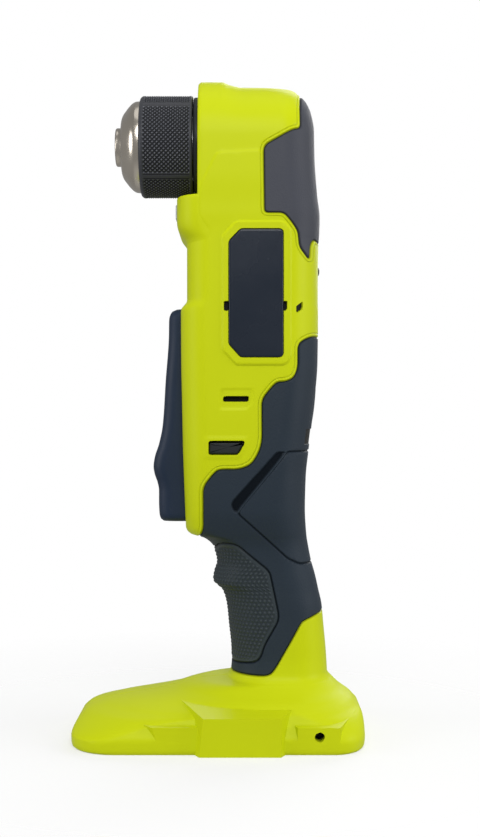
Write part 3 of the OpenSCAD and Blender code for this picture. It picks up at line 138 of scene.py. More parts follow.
# Values with new ones behind them, a share w of the way from point a to point b
def extended(v, a, b, w):
    return np.concatenate([v, v[a] + (v[b] - v[a]) * w])


# Cut of every triangle along the line where a field has a level: a new point is the weighted mean of an edge's ends
def splitAlong(sheet, name, level, snap=0.03):
    p, t, f = sheet.p, sheet.t, sheet.f
    d = f[name] - level
    d = np.where(np.abs(d) < snap, 0, d)
    sides = np.sign(d).astype(int)[t]
    cross = (sides.min(1) < 0) & (sides.max(1) > 0)
    c, s = t[cross], sides[cross]
    if not len(c):
        return sheet
    onLine = (s == 0).any(1)
    first = np.where(onLine, np.argmax(s == 0, 1), np.argmax(s == -s.sum(1)[:, None], 1))
    c = c[np.arange(len(c))[:, None], (first[:, None] + np.arange(3)) % 3]
    one, two = c[onLine], c[~onLine]
    a, b, back = sortedEdges(np.vstack([one[:, [1, 2]], two[:, [0, 1]], two[:, [0, 2]]]), len(p))
    w = d[a] / (d[a] - d[b])
    n1, n2, n3 = np.split(back + len(p), [len(one), len(one) + len(two)])
    (o0, o1, o2), (t0, t1, t2) = one.T, two.T
    new = [[o0, o1, n1], [o0, n1, o2], [t0, n2, n3], [n2, t1, t2], [n2, t2, n3]]
    triangles = np.vstack([t[~cross]] + [np.stack(corners, 1) for corners in new])
    return sheetOf(extended(p, a, b, w[:, None]), triangles, **{k: extended(v, a, b, w) for k, v in f.items()})


# Four triangles for each one, with a new point at the middle of every edge
def refine(sheet, half=0.5):
    p, t, f = sheet.p, sheet.t, sheet.f
    a, b, back = sortedEdges(edgesOf(t), len(p))
    (t0, t1, t2), (m0, m1, m2) = t.T, (back + len(p)).reshape(3, -1)
    new = [[t0, m0, m2], [m0, t1, m1], [m2, m1, t2], [m0, m1, m2]]
    triangles = np.vstack([np.stack(corners, 1) for corners in new])
    return sheetOf(extended(p, a, b, half), triangles, **{k: extended(v, a, b, half) for k, v in f.items()})


# The triangles that a test keeps, with only the points they use
def partOf(sheet, keep):
    t = sheet.t[keep]
    used, back = np.unique(t, return_inverse=True)
    return sheetOf(sheet.p[used], back.reshape(-1, 3), **{k: v[used] for k, v in sheet.f.items()})


def joined(a, b):
    fields = {k: np.concatenate([a.f[k], v]) for k, v in b.f.items()}
    return sheetOf(np.vstack([a.p, b.p]), np.vstack([a.t, b.t + len(a.p)]), **fields)


# Mirror of a sheet across the seam plane, turned so that it still faces out
def mirrored(sheet):
    return sheetOf(sheet.p * np.array([1, -1, 1]), sheet.t[:, ::-1], **sheet.f)


def middleOf(sheet, name):
    return sheet.f[name][sheet.t].mean(1)


def areaVectors(p, t):
    return np.cross(p[t[:, 1]] - p[t[:, 0]], p[t[:, 2]] - p[t[:, 0]])


# Point normals: the sum of the area vectors round a point, spread over more rings of triangles, made one long
def pointNormals(p, t, spread=0):
    area = areaVectors(p, t)
    for ring in range(spread + 1):
        n = np.zeros_like(p)
        for corner in range(3):
            np.add.at(n, t[:, corner], area)
        area = n[t].sum(1)
    return n / np.maximum(np.linalg.norm(n, axis=1), tiny)[:, None]


# Wall of a sheet: the sheet once more, moved in along its normals and turned round, with a rim along each open edge
def walled(sheet, wall, spread=8):
    p, t = sheet.p, sheet.t
    n = len(p)
    ends = edgesOf(t)
    first, count = np.unique(np.sort(ends, 1) @ np.array([n, 1]), return_index=True, return_counts=True)[1:]
    a, b = ends[first[count == 1]].T
    rim = np.vstack([np.stack([b, a, a + n], 1), np.stack([b, a + n, b + n], 1)])
    points = np.vstack([p, p - wall * pointNormals(p, t, spread)])
    fields = {k: np.concatenate([v, v]) for k, v in sheet.f.items()}
    return sheetOf(points, np.vstack([t, t[:, ::-1] + n, rim]), **fields)


# Mesh of a sheet, in metres, smooth, with its fields as attributes
def meshOf(name, sheet):
    p, t = sheet.p * mm, sheet.t
    mesh = bpy.data.meshes.new(name)
    mesh.vertices.add(len(p))
    mesh.vertices.foreach_set("co", p.astype(np.float32).ravel())
    mesh.loops.add(3 * len(t))
    mesh.loops.foreach_set("vertex_index", t.astype(np.int32).ravel())
    mesh.polygons.add(len(t))
    mesh.polygons.foreach_set("loop_start", np.arange(0, 3 * len(t), 3, dtype=np.int32))
    mesh.polygons.foreach_set("use_smooth", np.ones(len(t), bool))
    mesh.update(calc_edges=True)
    for key, values in sheet.f.items():
        mesh.attributes.new(key, "FLOAT", "POINT").data.foreach_set("value", values.astype(np.float32))
    mesh.validate()
    return mesh


# Sheet without doubled points and needle triangles
def cleaned(name, sheet, double=0.05, needle=0.02):
    mesh = meshOf(name, sheet)
    clean = bmesh.new()
    clean.from_mesh(mesh)
    bmesh.ops.remove_doubles(clean, verts=clean.verts, dist=double * mm)
    bmesh.ops.dissolve_degenerate(clean, edges=clean.edges, dist=needle * mm)
    bmesh.ops.triangulate(clean, faces=clean.faces)
    clean.to_mesh(mesh)
    clean.free()
    p, t = np.empty(3 * len(mesh.vertices)), np.empty(len(mesh.loops), np.int32)
    mesh.vertices.foreach_get("co", p)
    mesh.loops.foreach_get("vertex_index", t)
    fields = {key: np.empty(len(mesh.vertices)) for key in sheet.f}
    for key, values in fields.items():
        mesh.attributes[key].data.foreach_get("value", values)
    bpy.data.meshes.remove(mesh)
    return sheetOf(p.reshape(-1, 3) / mm, t.reshape(-1, 3).astype(int), **fields)


def placed(name, data):
    obj = bpy.data.objects.new(name, data)
    bpy.context.scene.collection.objects.link(obj)
    return obj


# A sheet made into a piece: cleaned, walled if asked, sharp past an angle, with its slot's finish or another look
def pieceFrom(name, sheet, body, slot, nodes, look=None, wall=0, sharp=50, keepFields=(), leastArea=1e-7):
    solid = np.linalg.norm(areaVectors(sheet.p, sheet.t), axis=1) > leastArea
    sheet = cleaned(name, sheetOf(sheet.p, sheet.t[solid], **{key: sheet.f[key] for key in keepFields}))
    mesh = meshOf(name, walled(sheet, wall) if wall else sheet)
    mesh.set_sharp_from_angle(angle=math.radians(sharp))
    mesh.materials.append(finish[look or slot])
    obj = placed(name, mesh)
    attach(obj, body)
    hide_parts(*nodes)
    return obj


# Inputs of a shader node: a socket is linked, a number or colour is set
def feed(tree, node, inputs):
    for key, value in inputs.items():
        if isinstance(value, bpy.types.NodeSocket):
            tree.links.new(value, node.inputs[key])
        else:
            node.inputs[key].default_value = value
    return node


def nodeOf(tree, kind, inputs, **settings):
    node = tree.nodes.new("ShaderNode" + kind)
    for key, value in settings.items():
        setattr(node, key, value)
    return feed(tree, node, inputs)


# Materials: every one reads Object coordinates, so a pattern keeps its size on every piece
def newMaterial(name, colour, metallic=0.0, specular=0.5, coat=0.0, coatRough=0.1):
    mat = bpy.data.materials.new(name)
    mat.use_nodes = True
    tree = mat.node_tree
    shader = feed(tree, tree.nodes["Principled BSDF"], {
        "Base Color": (*colour, 1), "Metallic": metallic, "Specular IOR Level": specular,
        "Coat Weight": coat, "Coat Roughness": coatRough,
    })
    return mat, tree, shader, nodeOf(tree, "TexCoord", {}).outputs["Object"]


def noiseOf(tree, coords, scale, detail=3.0, rough=0.55):
    inputs = {"Vector": coords, "Scale": scale, "Detail": detail, "Roughness": rough}
    return nodeOf(tree, "TexNoise", inputs).outputs["Fac"]


def rangeOf(tree, value, low, high, a=0.0, b=1.0):
    inputs = {"Value": value, "From Min": a, "From Max": b, "To Min": low, "To Max": high}
    return nodeOf(tree, "MapRange", inputs).outputs["Result"]


def mixOf(tree, share, a, b):
    a, b = [(*v, 1) if isinstance(v, tuple) else v for v in (a, b)]
    return nodeOf(tree, "Mix", {"Factor": share, "A": a, "B": b}, data_type="RGBA").outputs["Result"]


def bumpOf(tree, height, strength, distance):
    inputs = {"Height": height, "Strength": strength, "Distance": distance}
    return nodeOf(tree, "Bump", inputs).outputs["Normal"]


def shade(colour, k):
    return tuple(min(c * k, 1) for c in colour)


# How the finishes vary: noises as scale, detail and roughness, ranges of a noise, bump heights in metres, and the
# near-black colour of the painted shadow on hole floors
looks = {
    "clouds": (38, 4), "grain": (2, 0.6), "scuffs": (210, 5, 0.7), "areas": (24, 2),
    "spots": (55, 4), "marks": (3, 0.6), "middle": (0.3, 0.7), "scuffed": (0.62, 0.78), "wearAndGlint": (0.5, 0.7),
    "scuffShare": 0.5, "grooveShine": 0.25, "mouldRough": (-0.06, 0.07), "metalRough": (-0.05, 0.09),
    "metalTone": (0.88, 1.08), "pocket": (0.006, 0.007, 0.006), "mouldBump": 0.00012, "metalBump": 0.0001,
}


# Moulded plastic or rubber: fine grain in the bump, slow clouds in colour and roughness, scuffs here and there,
# painted shade in grooves and recesses, dark and with less shine, and painted shadow, near black, on the floors of
# openings
def mouldedFinish(name, colour, rough, grain, grainScale, cloud=0.06, dark=0.55, wear=None, spec=0.5, coat=0.0):
    mat, tree, shader, coords = newMaterial(name, colour, coat=coat, specular=spec)
    clouds = noiseOf(tree, coords, *looks["clouds"])
    fine = noiseOf(tree, coords, grainScale, *looks["grain"])
    groove, pocket = [
        nodeOf(tree, "Attribute", {}, attribute_name=key).outputs["Fac"] for key in ("groove", "pocket")
    ]
    tone = mixOf(tree, clouds, shade(colour, 1 - cloud), shade(colour, 1 + cloud))
    # painted shade: grooves and recesses darken towards a share of the colour
    tone = mixOf(tree, groove, tone, shade(colour, dark))
    # painted shadow: the floors of openings turn near black
    tone = mixOf(tree, pocket, tone, looks["pocket"])
    if wear:
        scuffs = rangeOf(tree, noiseOf(tree, coords, *looks["scuffs"]), 0, looks["scuffShare"], *looks["scuffed"])
        areas = rangeOf(tree, noiseOf(tree, coords, *looks["areas"]), 0, 1, *looks["wearAndGlint"])
        share = nodeOf(tree, "Math", {0: scuffs, 1: areas}, operation="MULTIPLY").outputs[0]
        tone = mixOf(tree, share, tone, wear)
    low, high = looks["mouldRough"]
    feed(tree, shader, {
        "Base Color": tone, "Specular IOR Level": rangeOf(tree, groove, spec, looks["grooveShine"] * spec),
        "Roughness": rangeOf(tree, clouds, rough + low, rough + high, *looks["middle"]),
        "Normal": bumpOf(tree, fine, grain, looks["mouldBump"]),
    })
    return mat


# Metal: turned marks along an axis as noise stretched across it, spots of duller roughness
def metalFinish(name, colour, rough, stretch, marks=0.12, scale=420):
    mat, tree, shader, coords = newMaterial(name, colour, metallic=1.0)
    stretched = nodeOf(tree, "Mapping", {"Vector": coords, "Scale": stretch}).outputs["Vector"]
    lathe = noiseOf(tree, stretched, scale, *looks["marks"])
    spots = noiseOf(tree, coords, *looks["spots"])
    low, high = looks["metalRough"]
    feed(tree, shader, {
        "Base Color": mixOf(tree, spots, *[shade(colour, k) for k in looks["metalTone"]]),
        "Roughness": rangeOf(tree, spots, rough + low, rough + high, *looks["middle"]),
        "Normal": bumpOf(tree, lathe, marks, looks["metalBump"]),
    })
    return mat


# name, colour, roughness, grain, grain scale, clouds, tone of the painted shade in grooves, colour of wear, specular,
# coat
moulded = {
    "lime_shell": ("limePlastic", (0.575, 0.655, 0.005), 0.42, 0.1, 1500, 0.03, 0.3, (0.62, 0.69, 0.02), 0.1),
    "grip_rubber": ("navyRubber", (0.013, 0.024, 0.038), 0.6, 0.7, 1300, 0.14, 0.25, (0.05, 0.062, 0.075), 0.32),
    # painted light: the finger panel gets a lighter copy of the grip rubber, standing in for light falling on it
    "fingerDots": ("fingerRubberPaintedLight", (0.024, 0.036, 0.044), 0.52, 0.5, 1300, 0.14, 0.25, (0.06, 0.075, 0.085), 0.38),
    "head_rubber": ("greyRubber", (0.05, 0.054, 0.07), 0.6, 0.7, 1300, 0.1, 0.25, (0.11, 0.115, 0.13), 0.32),
    "badge_gloss": ("glossPlate", (0.01, 0.016, 0.028), 0.26, 0.03, 900, 0.06, 0.6, None, 0.22, 0.15),
    "black_plastic": ("blackPlastic", (0.014, 0.017, 0.019), 0.46, 0.16, 1400, 0.08, 0.5, (0.05, 0.052, 0.056), 0.35),
    "trigger_plastic": ("triggerPlastic", (0.007, 0.018, 0.042), 0.48, 0.2, 1500, 0.1, 0.5, (0.05, 0.06, 0.075), 0.32),
    "lens_clear": ("lensFrost", (0.42, 0.44, 0.46), 0.22, 0.05, 700, 0.1, 0.6, None, 0.5, 0.6),
    "board_green": ("boardLacquer", (0.01, 0.1, 0.035), 0.35, 0.08, 800, 0.1),
    # sleeve: its colour is the painted highlight on the knurl's points; the groove tone gives the sleeve's dark
    "sleeve_black": ("sleeveBlack", (0.135, 0.142, 0.168), 0.4, 0.12, 1500, 0.1, 0.12, None, 0.55),
    "lead_red": ("leadJacket", (0.33, 0.012, 0.01), 0.5, 0.1, 900),
}
# name, colour, roughness, stretch of the marks along each axis, their depth and scale
metals = {
    "gearcase_alloy": ("castAlloy", (0.48, 0.49, 0.5), 0.45, (1, 1, 1), 0.25, 900),
    "gear_steel": ("hobbedSteel", (0.42, 0.42, 0.42), 0.34, (1, 1, 6)),
    "bearing_steel": ("bearingSteel", (0.6, 0.61, 0.63), 0.2, (8, 1, 1), 0.06),
    "motor_steel": ("laminatedSteel", (0.25, 0.26, 0.28), 0.45, (1, 1, 14), 0.3, 260),
    "copper": ("windingCopper", (0.62, 0.26, 0.11), 0.3, (1, 1, 10), 0.3, 300),
    "chuck_steel": ("turnedSteel", (0.36, 0.36, 0.37), 0.3, (9, 1, 1)),
    "nose_chrome": ("noseChrome", (0.58, 0.53, 0.46), 0.22, (10, 1, 1), 0.0),
    "terminal_brass": ("terminalBrass", (0.66, 0.47, 0.18), 0.28, (1, 1, 8), 0.1),
    "screw_steel": ("blackedScrew", (0.1, 0.1, 0.105), 0.38, (1, 1, 1), 0.12),
}
finish = {slot: mouldedFinish(*row) for slot, row in moulded.items()}
finish.update({slot: metalFinish(*row) for slot, row in metals.items()})
print("materials:", len(finish))

axisZ = 221.9  # height of the chuck's axis, where the crown starts
# Moulded body: the section at each height, front to rear, measured on the photograph's side view
shell = {
    "pitch": 0.95, "columns": 100, "bend": 2.4, "wall": 1.2, "sharp": 28, "samples": 9000,
    "crownRows": 44, "topRows": 12,
    # height, front, rear, half width, front corner depth and width share, rear corner depth and width share
    "stations": [
        (0, -52.4, 52.4, 34.9, 16, 0.45, 11, 0.42), (1, -53.3, 53.2, 35.5, 16, 0.45, 11, 0.43),
        (4.6, -53.5, 53.5, 35.6, 16, 0.46, 11, 0.44), (5.3, -53.4, 53.5, 35.5, 17, 0.5, 11.5, 0.46),
        (7.5, -52.4, 53.5, 34.4, 22, 0.66, 13, 0.52), (10, -50.4, 53.3, 33.1, 30, 0.82, 17, 0.64),
        (11, -49.2, 53, 32.6, 34, 0.86, 19, 0.7), (13, -44, 51.6, 31.5, 48, 0.98, 22.5, 0.85),
        (15, -34.5, 50, 29.4, 53, 0.98, 23, 0.92), (16.4, -26, 48.2, 27.5, 45, 0.98, 21, 0.95),
        (18, -18.2, 46, 24.6, 35, 0.98, 18, 0.95), (20, -11.5, 43.9, 21.5, 26, 0.98, 16, 0.92),
        (20.9, -7, 43, 20.3, 22, 0.98, 15, 0.91), (21.5, -0.6, 42.4, 19.6, 18, 0.98, 14.4, 0.905),
        (22, 3.2, 41.9, 19, 15, 0.98, 14, 0.9), (24, 4.4, 40.9, 17.6, 14, 0.95, 13, 0.9),
        (26, 4.8, 40.8, 17.3, 14, 0.95, 13, 0.9),
        (30.8, 5, 40.5, 16.9, 14, 0.95, 13, 0.9), (41.8, 4, 39.5, 16.8, 14, 0.95, 13, 0.9),
        (49.2, 3.2, 38.8, 16.8, 14, 0.95, 13, 0.9), (54.6, 1.5, 37.6, 16.8, 14, 0.95, 13, 0.9),
        (58.3, -2, 36.8, 16.9, 14, 0.95, 13, 0.9), (61.5, -1.5, 36, 17, 14, 0.95, 13, 0.9),
        (64.9, -0.5, 35, 17.2, 14, 0.95, 13, 0.9), (70.8, -2, 33.8, 17.7, 13, 0.92, 13, 0.9),
        (74.3, -5.5, 33.2, 18.6, 12, 0.8, 13, 0.9), (76.3, -11, 33, 19.4, 11, 0.7, 13, 0.89),
        (78.5, -12.2, 32.8, 20.2, 10, 0.62, 13, 0.88), (84.9, -12.4, 32.5, 21.9, 10, 0.55, 13, 0.88),
        (97.2, -12.8, 32.8, 23, 10, 0.5, 13, 0.86), (107, -13.1, 33.8, 23.4, 10, 0.48, 13, 0.85),
        (125.5, -13.5, 36, 23.5, 10, 0.48, 13, 0.85), (140.2, -13.8, 37.2, 23.5, 10, 0.48, 13, 0.85),
        (158.9, -13.9, 37.4, 23.5, 10, 0.48, 13, 0.85), (162.6, -11.6, 37.3, 23.5, 9, 0.46, 13, 0.85),
        (183.6, -11.6, 37.5, 23.6, 9, 0.44, 13, 0.85), (187.6, -7.5, 37.8, 23.7, 5, 0.25, 13, 0.85),
        (194.3, -7.5, 38, 24, 1.2, 0.05, 13, 0.85), (203, -7.5, 37, 24, 1.2, 0.05, 13, 0.82),
        (217, -7.5, 36, 24, 1.2, 0.05, 13, 0.8), (221.9, -7.5, 35.9, 24, 1.2, 0.05, 13, 0.8),
    ],
    # share of the way up the crown, rear edge there
    "crownRear": [(0, 35.9), (0.24, 35.8), (0.51, 34.8), (0.71, 33.1), (0.85, 30.6), (0.96, 28), (1, 26.5)],
    # crown's top line: x, height
    "crownTop": [(-7.5, 245.2), (-6.5, 246), (1.5, 246), (4, 244.9), (8, 243.9), (26.5, 243.7), (38, 243.7)],
}
# radius of the corners, and points as x and height
outlines = {
    "head": (1.6, [
        (31, 243), (30.2, 233.7), (30.2, 224.8), (27.5, 224.1), (17.5, 218.4), (16.6, 216.7), (16.9, 194.3),
        (17.4, 193.6), (23.9, 193.6), (26.9, 190.2), (29.2, 187), (29.8, 181.4), (33.7, 176.9), (34, 182.6),
        (35.2, 184.9), (37, 184.6), (46, 184.4), (46, 243),
    ]),
    "handle": (2.4, [
        (46, 149.1), (34.7, 149.3), (29.2, 146.4), (29.2, 137.3), (27.6, 133.6), (24.3, 132.3), (21.1, 132.3),
        (15.9, 126), (16, 111.2), (15, 107), (12.2, 102.3), (7.8, 100.5), (0.6, 100.5), (-1.1, 99.6), (-5.5, 94.1),
        (-5.5, 78.2), (-7.2, 74.5), (-22, 72.6), (-22, 24.6), (18.8, 24.6), (21, 27.1), (30.6, 43.8), (31.8, 44.6),
        (38, 46.8), (46, 48),
    ]),
    "finger": (2.4, [
        (-24, 70.2), (-1.6, 70.4), (0.2, 72.9), (6.4, 72.9), (18.9, 62.8), (19.7, 59), (22.2, 47.2), (22.1, 44.4),
        (17, 35.6), (15.6, 31), (13.5, 29.2), (4, 27.9), (-24, 27.9),
    ]),
    "palm": (1.2, [(46, 107.2), (25.3, 106.9), (8.4, 86.4), (7.2, 84.4), (25.5, 67.6), (30, 65.4), (46, 64.9)]),
    "frame": (1.4, [
        (6.4, 138), (1.2, 143.7), (1.2, 185.5), (6.4, 190.9), (24, 190.9), (26.8, 187.9), (26.8, 140.7), (24.4, 138),
    ]),
    "plate": (1.0, [
        (8.1, 141), (3.7, 145.9), (3.7, 183.3), (8.1, 187.9), (22.9, 187.9), (23.9, 187), (23.9, 141.9), (22.9, 141),
    ]),
    "selectorPad": (1.2, [(-5.5, 103.8), (-5.5, 112.9), (11.2, 112.9), (11.2, 109.3), (8.1, 103.8)]),
    "selector": (0.8, [(-3.5, 105.7), (-3.5, 111), (9.75, 111), (9.75, 109.8), (7.4, 105.7)]),
    "ventSink": (1.3, [(0.5, 122), (0.5, 130.1), (13, 130.1), (13, 124.6), (10.6, 122)]),
    "vent": (0.4, [(1.8, 125), (1.8, 127.2), (11.3, 127.2), (11.3, 125)]),
    "rearVent": (0.3, [(28.4, 157), (28.4, 159.9), (31, 161.8), (31, 158.9)]),
    "plateSlotA": (0.3, [(2, 157.9), (2, 161.6), (4.4, 161.6), (4.4, 157.9)]),
    "plateSlotB": (0.3, [(23.2, 157.9), (23.2, 161.6), (25.1, 161.6), (25.1, 157.9)]),
    "flank": (2, [(-7.1, 203.4), (-0.6, 216.1), (16.4, 216.8), (16.4, 190), (-7.1, 190)]),
    "palmBand": (1.2, [(25.2, 107), (21.3, 107.3), (4.5, 88.6), (4.5, 86.4), (6.2, 84.2), (7.2, 84.4), (8.4, 86.4)]),
}
grips = ("head", "handle", "finger", "palm")
# outlines of other trim count above a height and off the seam; elsewhere a field is far
trimArea = {"low": 80, "seam": 8}
far = 9
# line round each grip, and the fine line beside head and handle; a tone is the strength of the painted shade in a line
gripLine = {"half": 0.6, "deep": 0.5, "palmFade": (0, 0.5), "palmShade": 0.8}
fineLine = {"away": 1.3, "half": 0.35, "deep": 0.22, "fade": (76, 80), "tone": 0.3}
seamLine = {"half": 0.3, "deep": 0.25}
# raised and sunk faces: run of the slope inside the edge, height
faces = {
    "palmBand": (0.8, -0.8), "selectorPad": (1.4, 0.3), "ventSink": (0.9, -0.4), "flank": (1.2, 0.4),
    "frame": (0.9, 0.7),
}
flankFade = (196, 208)
# small and wide holes: run of the wall, and how far inside the edge the floor starts
holeRun, holeFloor, wideRun, wideFloor = 0.25, 0.12, 0.3, 0.15
# sink of each hole's floor; these floors get painted shadow, near black
floors = {"selector": 3.5, "vent": 2.2, "rearVent": 0.9, "rearSlot": 0.3}
leftFloors = {"plateSlotA": 1.6, "plateSlotB": 1.6}
plateDeep = 1.1
# far side's screws: x, height, seat of the head
screwSeats = [
    (-7.5, 169.7, 16.9), (31.5, 204.2, 14.1), (31, 113.2, 9.4), (13.5, 116.9, 17.4),
    (0.5, 80.4, 12.7), (31, 57.1, 8.5), (-36, 8.6, 23.5), (46.5, 8.6, 21.6),
]
screwPocket = {"radius": 2.74, "seam": 4}
slotHole = {"half": 10.85, "low": 79.95, "high": 160.6, "rear": -6, "lip": 5}
chuckHole = {"radius": 19.7, "rear": -7}
rearSlot = {"left": 15, "right": 7, "low": 109.4, "high": 115.2, "front": 25}
tether = {"x": 36.2, "z": 6.4, "r": 1.85, "depth": 5, "seam": 20}
# foot pads: ends, bottom and top of the face, its plane, run of end and top walls per millimetre of depth, lean;
# how near a point is cut, and the share of the half width over which the underside follows
pads = {
    "bulge": {"x": (-6.4, 22.4), "z": (-9, 13.5), "out": 38.5, "run": (0.47, 0.15), "lean": 0.11},
    "ledge": {"x": (-19.9, 15), "z": (3, 9.8), "out": 35.55, "run": (1.0, 0.12), "lean": -0.33},
    "boss": {"x": (28.4, 43.4), "z": (3, 9.7), "out": 35.58, "run": (0.4, 0.15), "lean": 0},
}
padNear, padFollow = 4, (0.45, 0.8)
pan = {
    "x": 42.8, "y": 27.8, "round": 6, "depth": 5, "run": 1.2, "soft": 0.3, "rows": 34,
    "socket": (11.7, 35.7), "socketY": 10.5, "socketRound": 2, "socketTop": 37,
}


# Half ring at each height, seam to seam: straight front, quarter ellipse, side, quarter ellipse, rear, sampled at even
# steps of its length with "bend" millimetres added for every radian of turn
def halfRings(front, rear, half, depthF, wideF, depthR, wideR, count=shell["columns"], quarter=41):
    sizes = np.broadcast_arrays(front, rear, half, depthF, wideF, depthR, wideR)
    f, r, w, fd, fw, rd, rw = [np.asarray(v, float)[:, None] for v in sizes]
    q = np.linspace(0, np.pi / 2, quarter)
    x = np.hstack([f, f + fd * (1 - np.cos(q)), r - rd + rd * np.sin(q), r])
    y = np.hstack([0 * f, w - fw + fw * np.sin(q), w - rw + rw * np.cos(q), 0 * f])
    turn = np.tile(np.append(0, np.diff(q)), 2)
    way = np.cumsum(np.hypot(np.diff(x), np.diff(y)) + shell["bend"] * np.append(turn, 0), 1)
    way = np.hstack([0 * f, way]) / way[:, -1:]
    share = np.linspace(0, 1, count)
    return [np.array([np.interp(share, a, b) for a, b in zip(way, v)]) for v in (x, y)]


# Half rings of a piece that has one pair of corners all the way
def ringsOf(k, front, half):
    corners = k["deep"], k["wide"] * half, k["rearDeep"], k["rearWide"] * half
    return halfRings(front, k["rear"], half, *corners, k["count"])


# Rows of the body: underside spokes, sections an even pitch apart along the longest profile, the crown's arc
def bodyGrid():
    z = np.linspace(0, axisZ, shell["samples"])
    rows = softRows(z, shell["stations"])
    step = np.hypot(np.diff(z), np.abs(np.diff(rows[:, :3], axis=0)).max(1))
    way = np.concatenate([[0], np.cumsum(step)])
    z = np.interp(np.linspace(0, way[-1], int(way[-1] / shell["pitch"])), way, z)
    f, r, w, fd, fw, rd, rw = softRows(z, shell["stations"]).T
    x, y = halfRings(f, r, w, fd, fw * w, rd, rw * w)
    zs, half = [np.repeat(v[:, None], x.shape[1], 1) for v in (z, w)]
    # underside: the lowest ring drawn to the middle of the foot
    share = (np.arange(pan["rows"]) / pan["rows"])[:, None]
    midX = (f[0] + r[0]) / 2
    ux, uy = midX + (x[:1] - midX) * share, y[:1] * share
    # crown: height goes with the sine and half width with the cosine of one angle
    angle = np.linspace(0, np.pi / 2, shell["crownRows"])[1:]
    rise, cw = np.sin(angle), w[-1] * np.cos(angle)
    rear = softRows(rise, shell["crownRear"])[:, 0]
    cx, cy = halfRings(f[-1], rear, cw, fd[-1], fw[-1] * cw, rd[-1], rw[-1] * cw)
    top = np.interp(cx, *np.array(shell["crownTop"]).T)
    cz = axisZ + (top - axisZ) * rise[:, None]
    grid = np.stack([np.vstack([ux, x, cx]), np.vstack([uy, y, cy]), np.vstack([0 * ux, zs, cz])], 2)
    return grid, np.vstack([np.full_like(ux, w[0]), half, np.full_like(cx, w[-1])])


# Straight ramp from 0 to 1, its ends rounded over a share e
def softRamp(s, e=0.18):
    s = np.clip(s, 0, 1)
    m = 1 / (1 - e)
    return np.where(s < e, m * s * s / (2 * e), np.where(s > 1 - e, 1 - m * (1 - s) ** 2 / (2 * e), m * (s - e / 2)))


# Round-bottomed dip along a line: 1 on it, 0 past the half width, a half cosine between
def dip(d, halfWidth):
    return 0.5 + 0.5 * np.cos(np.pi * np.clip(np.abs(d) / halfWidth, 0, 1))


# Distance outside a box with rounded corners, negative inside
def boxField(a, b, halfA, halfB, radius):
    qa, qb = np.abs(a) - halfA + radius, np.abs(b) - halfB + radius
    return np.hypot(np.maximum(qa, 0), np.maximum(qb, 0)) + np.minimum(np.maximum(qa, qb), 0) - radius


# Foot pad, a flat face with sloping end and top walls: how far back both walls are, and depth past the foot's side
def padDepth(sheet, pad):
    x, y, z = sheet.p.T
    (x0, x1), (z0, z1), (endRun, topRun) = pad["x"], pad["z"], pad["run"]
    ends = np.maximum(x0 + pad["lean"] * z - x, x - x1) / endRun
    tops = (z - z1) / topRun
    back = np.maximum.reduce([ends, tops, (z0 - z) / endRun, 0 * z])
    return ends, tops, pad["out"] - back - np.where(sheet.f["under"] > 0.5, sheet.f["half"], y)


def cutWhere(sheet, values):
    sheet.f["cut"] = values
    return splitAlong(sheet, "cut", 0)


# Cuts along the pads' edges, their corner lines, and the lines where they meet the foot and each other
def withPads(sheet):
    for pad in pads.values():
        for kind in range(3):
            ends, tops, over = padDepth(sheet, pad)
            edge = (ends, tops, ends - tops)[kind]
            sheet = cutWhere(sheet, np.where(over > -padNear, edge, np.abs(edge) + 1))
    for pad in pads.values():
        sheet = cutWhere(sheet, padDepth(sheet, pad)[2])
    bulge, ledge = [padDepth(sheet, pads[key])[2] for key in ("bulge", "ledge")]
    sheet = cutWhere(sheet, bulge - np.maximum(ledge, 0))
    sheet.f["over"] = np.max([padDepth(sheet, pad)[2] for pad in pads.values()], 0)
    return sheet


# Body half as a plain sheet, with a field for every edge and opening
def plainHalf(side):
    grid, halfs = bodyGrid()
    rows, cols = grid.shape[:2]
    p = grid.reshape(-1, 3)
    x, y, z = p.T
    arc = np.cumsum(np.hypot(*np.diff(grid[:, :, :2], axis=1, prepend=grid[:, :1, :2]).transpose(2, 0, 1)), 1)
    under = np.repeat(np.arange(rows) < pan["rows"], cols)
    crown = np.repeat(np.arange(rows) > rows - shell["topRows"], cols)
    f = {"half": halfs.ravel(), "arc": arc.ravel(), "seam": np.abs(y), "under": 1.0 * under, "crown": 1.0 * crown}
    for key, (radius, points) in outlines.items():
        f[key] = outlineField(x, z, roundOutline(points, radius))
        if key not in grips:
            f[key] = np.where((z < trimArea["low"]) | (y < trimArea["seam"]), far, f[key])
    k = tether
    f["tether"] = np.where(y < k["seam"], far, np.hypot(x - k["x"], z - k["z"]) - k["r"])
    screws = np.min([np.hypot(x - a, z - h) for a, h, seat in screwSeats], 0) - screwPocket["radius"]
    f["screws"] = np.where(under | (y < screwPocket["seam"]), far, screws)
    k = slotHole
    f["slot"] = np.max([y - k["half"], k["low"] - z, z - k["high"], x - k["rear"]], 0)
    f["nose"] = np.maximum(np.hypot(y, z - axisZ) - chuckHole["radius"], x - chuckHole["rear"])
    k, (front, rear) = pan, pan["socket"]
    f["pan"] = np.where(under, boxField(x, y, k["x"], k["y"], k["round"]), far)
    socket = boxField(x - (front + rear) / 2, y, (rear - front) / 2, k["socketY"], k["socketRound"])
    f["socket"] = np.where(under, socket, far)
    k = rearSlot
    f["rearSlot"] = np.max([y - k["left" if side < 0 else "right"], k["low"] - z, z - k["high"], k["front"] - x], 0)
    return sheetOf(p, gridTriangles(rows, cols)[:, ::-1], **f)


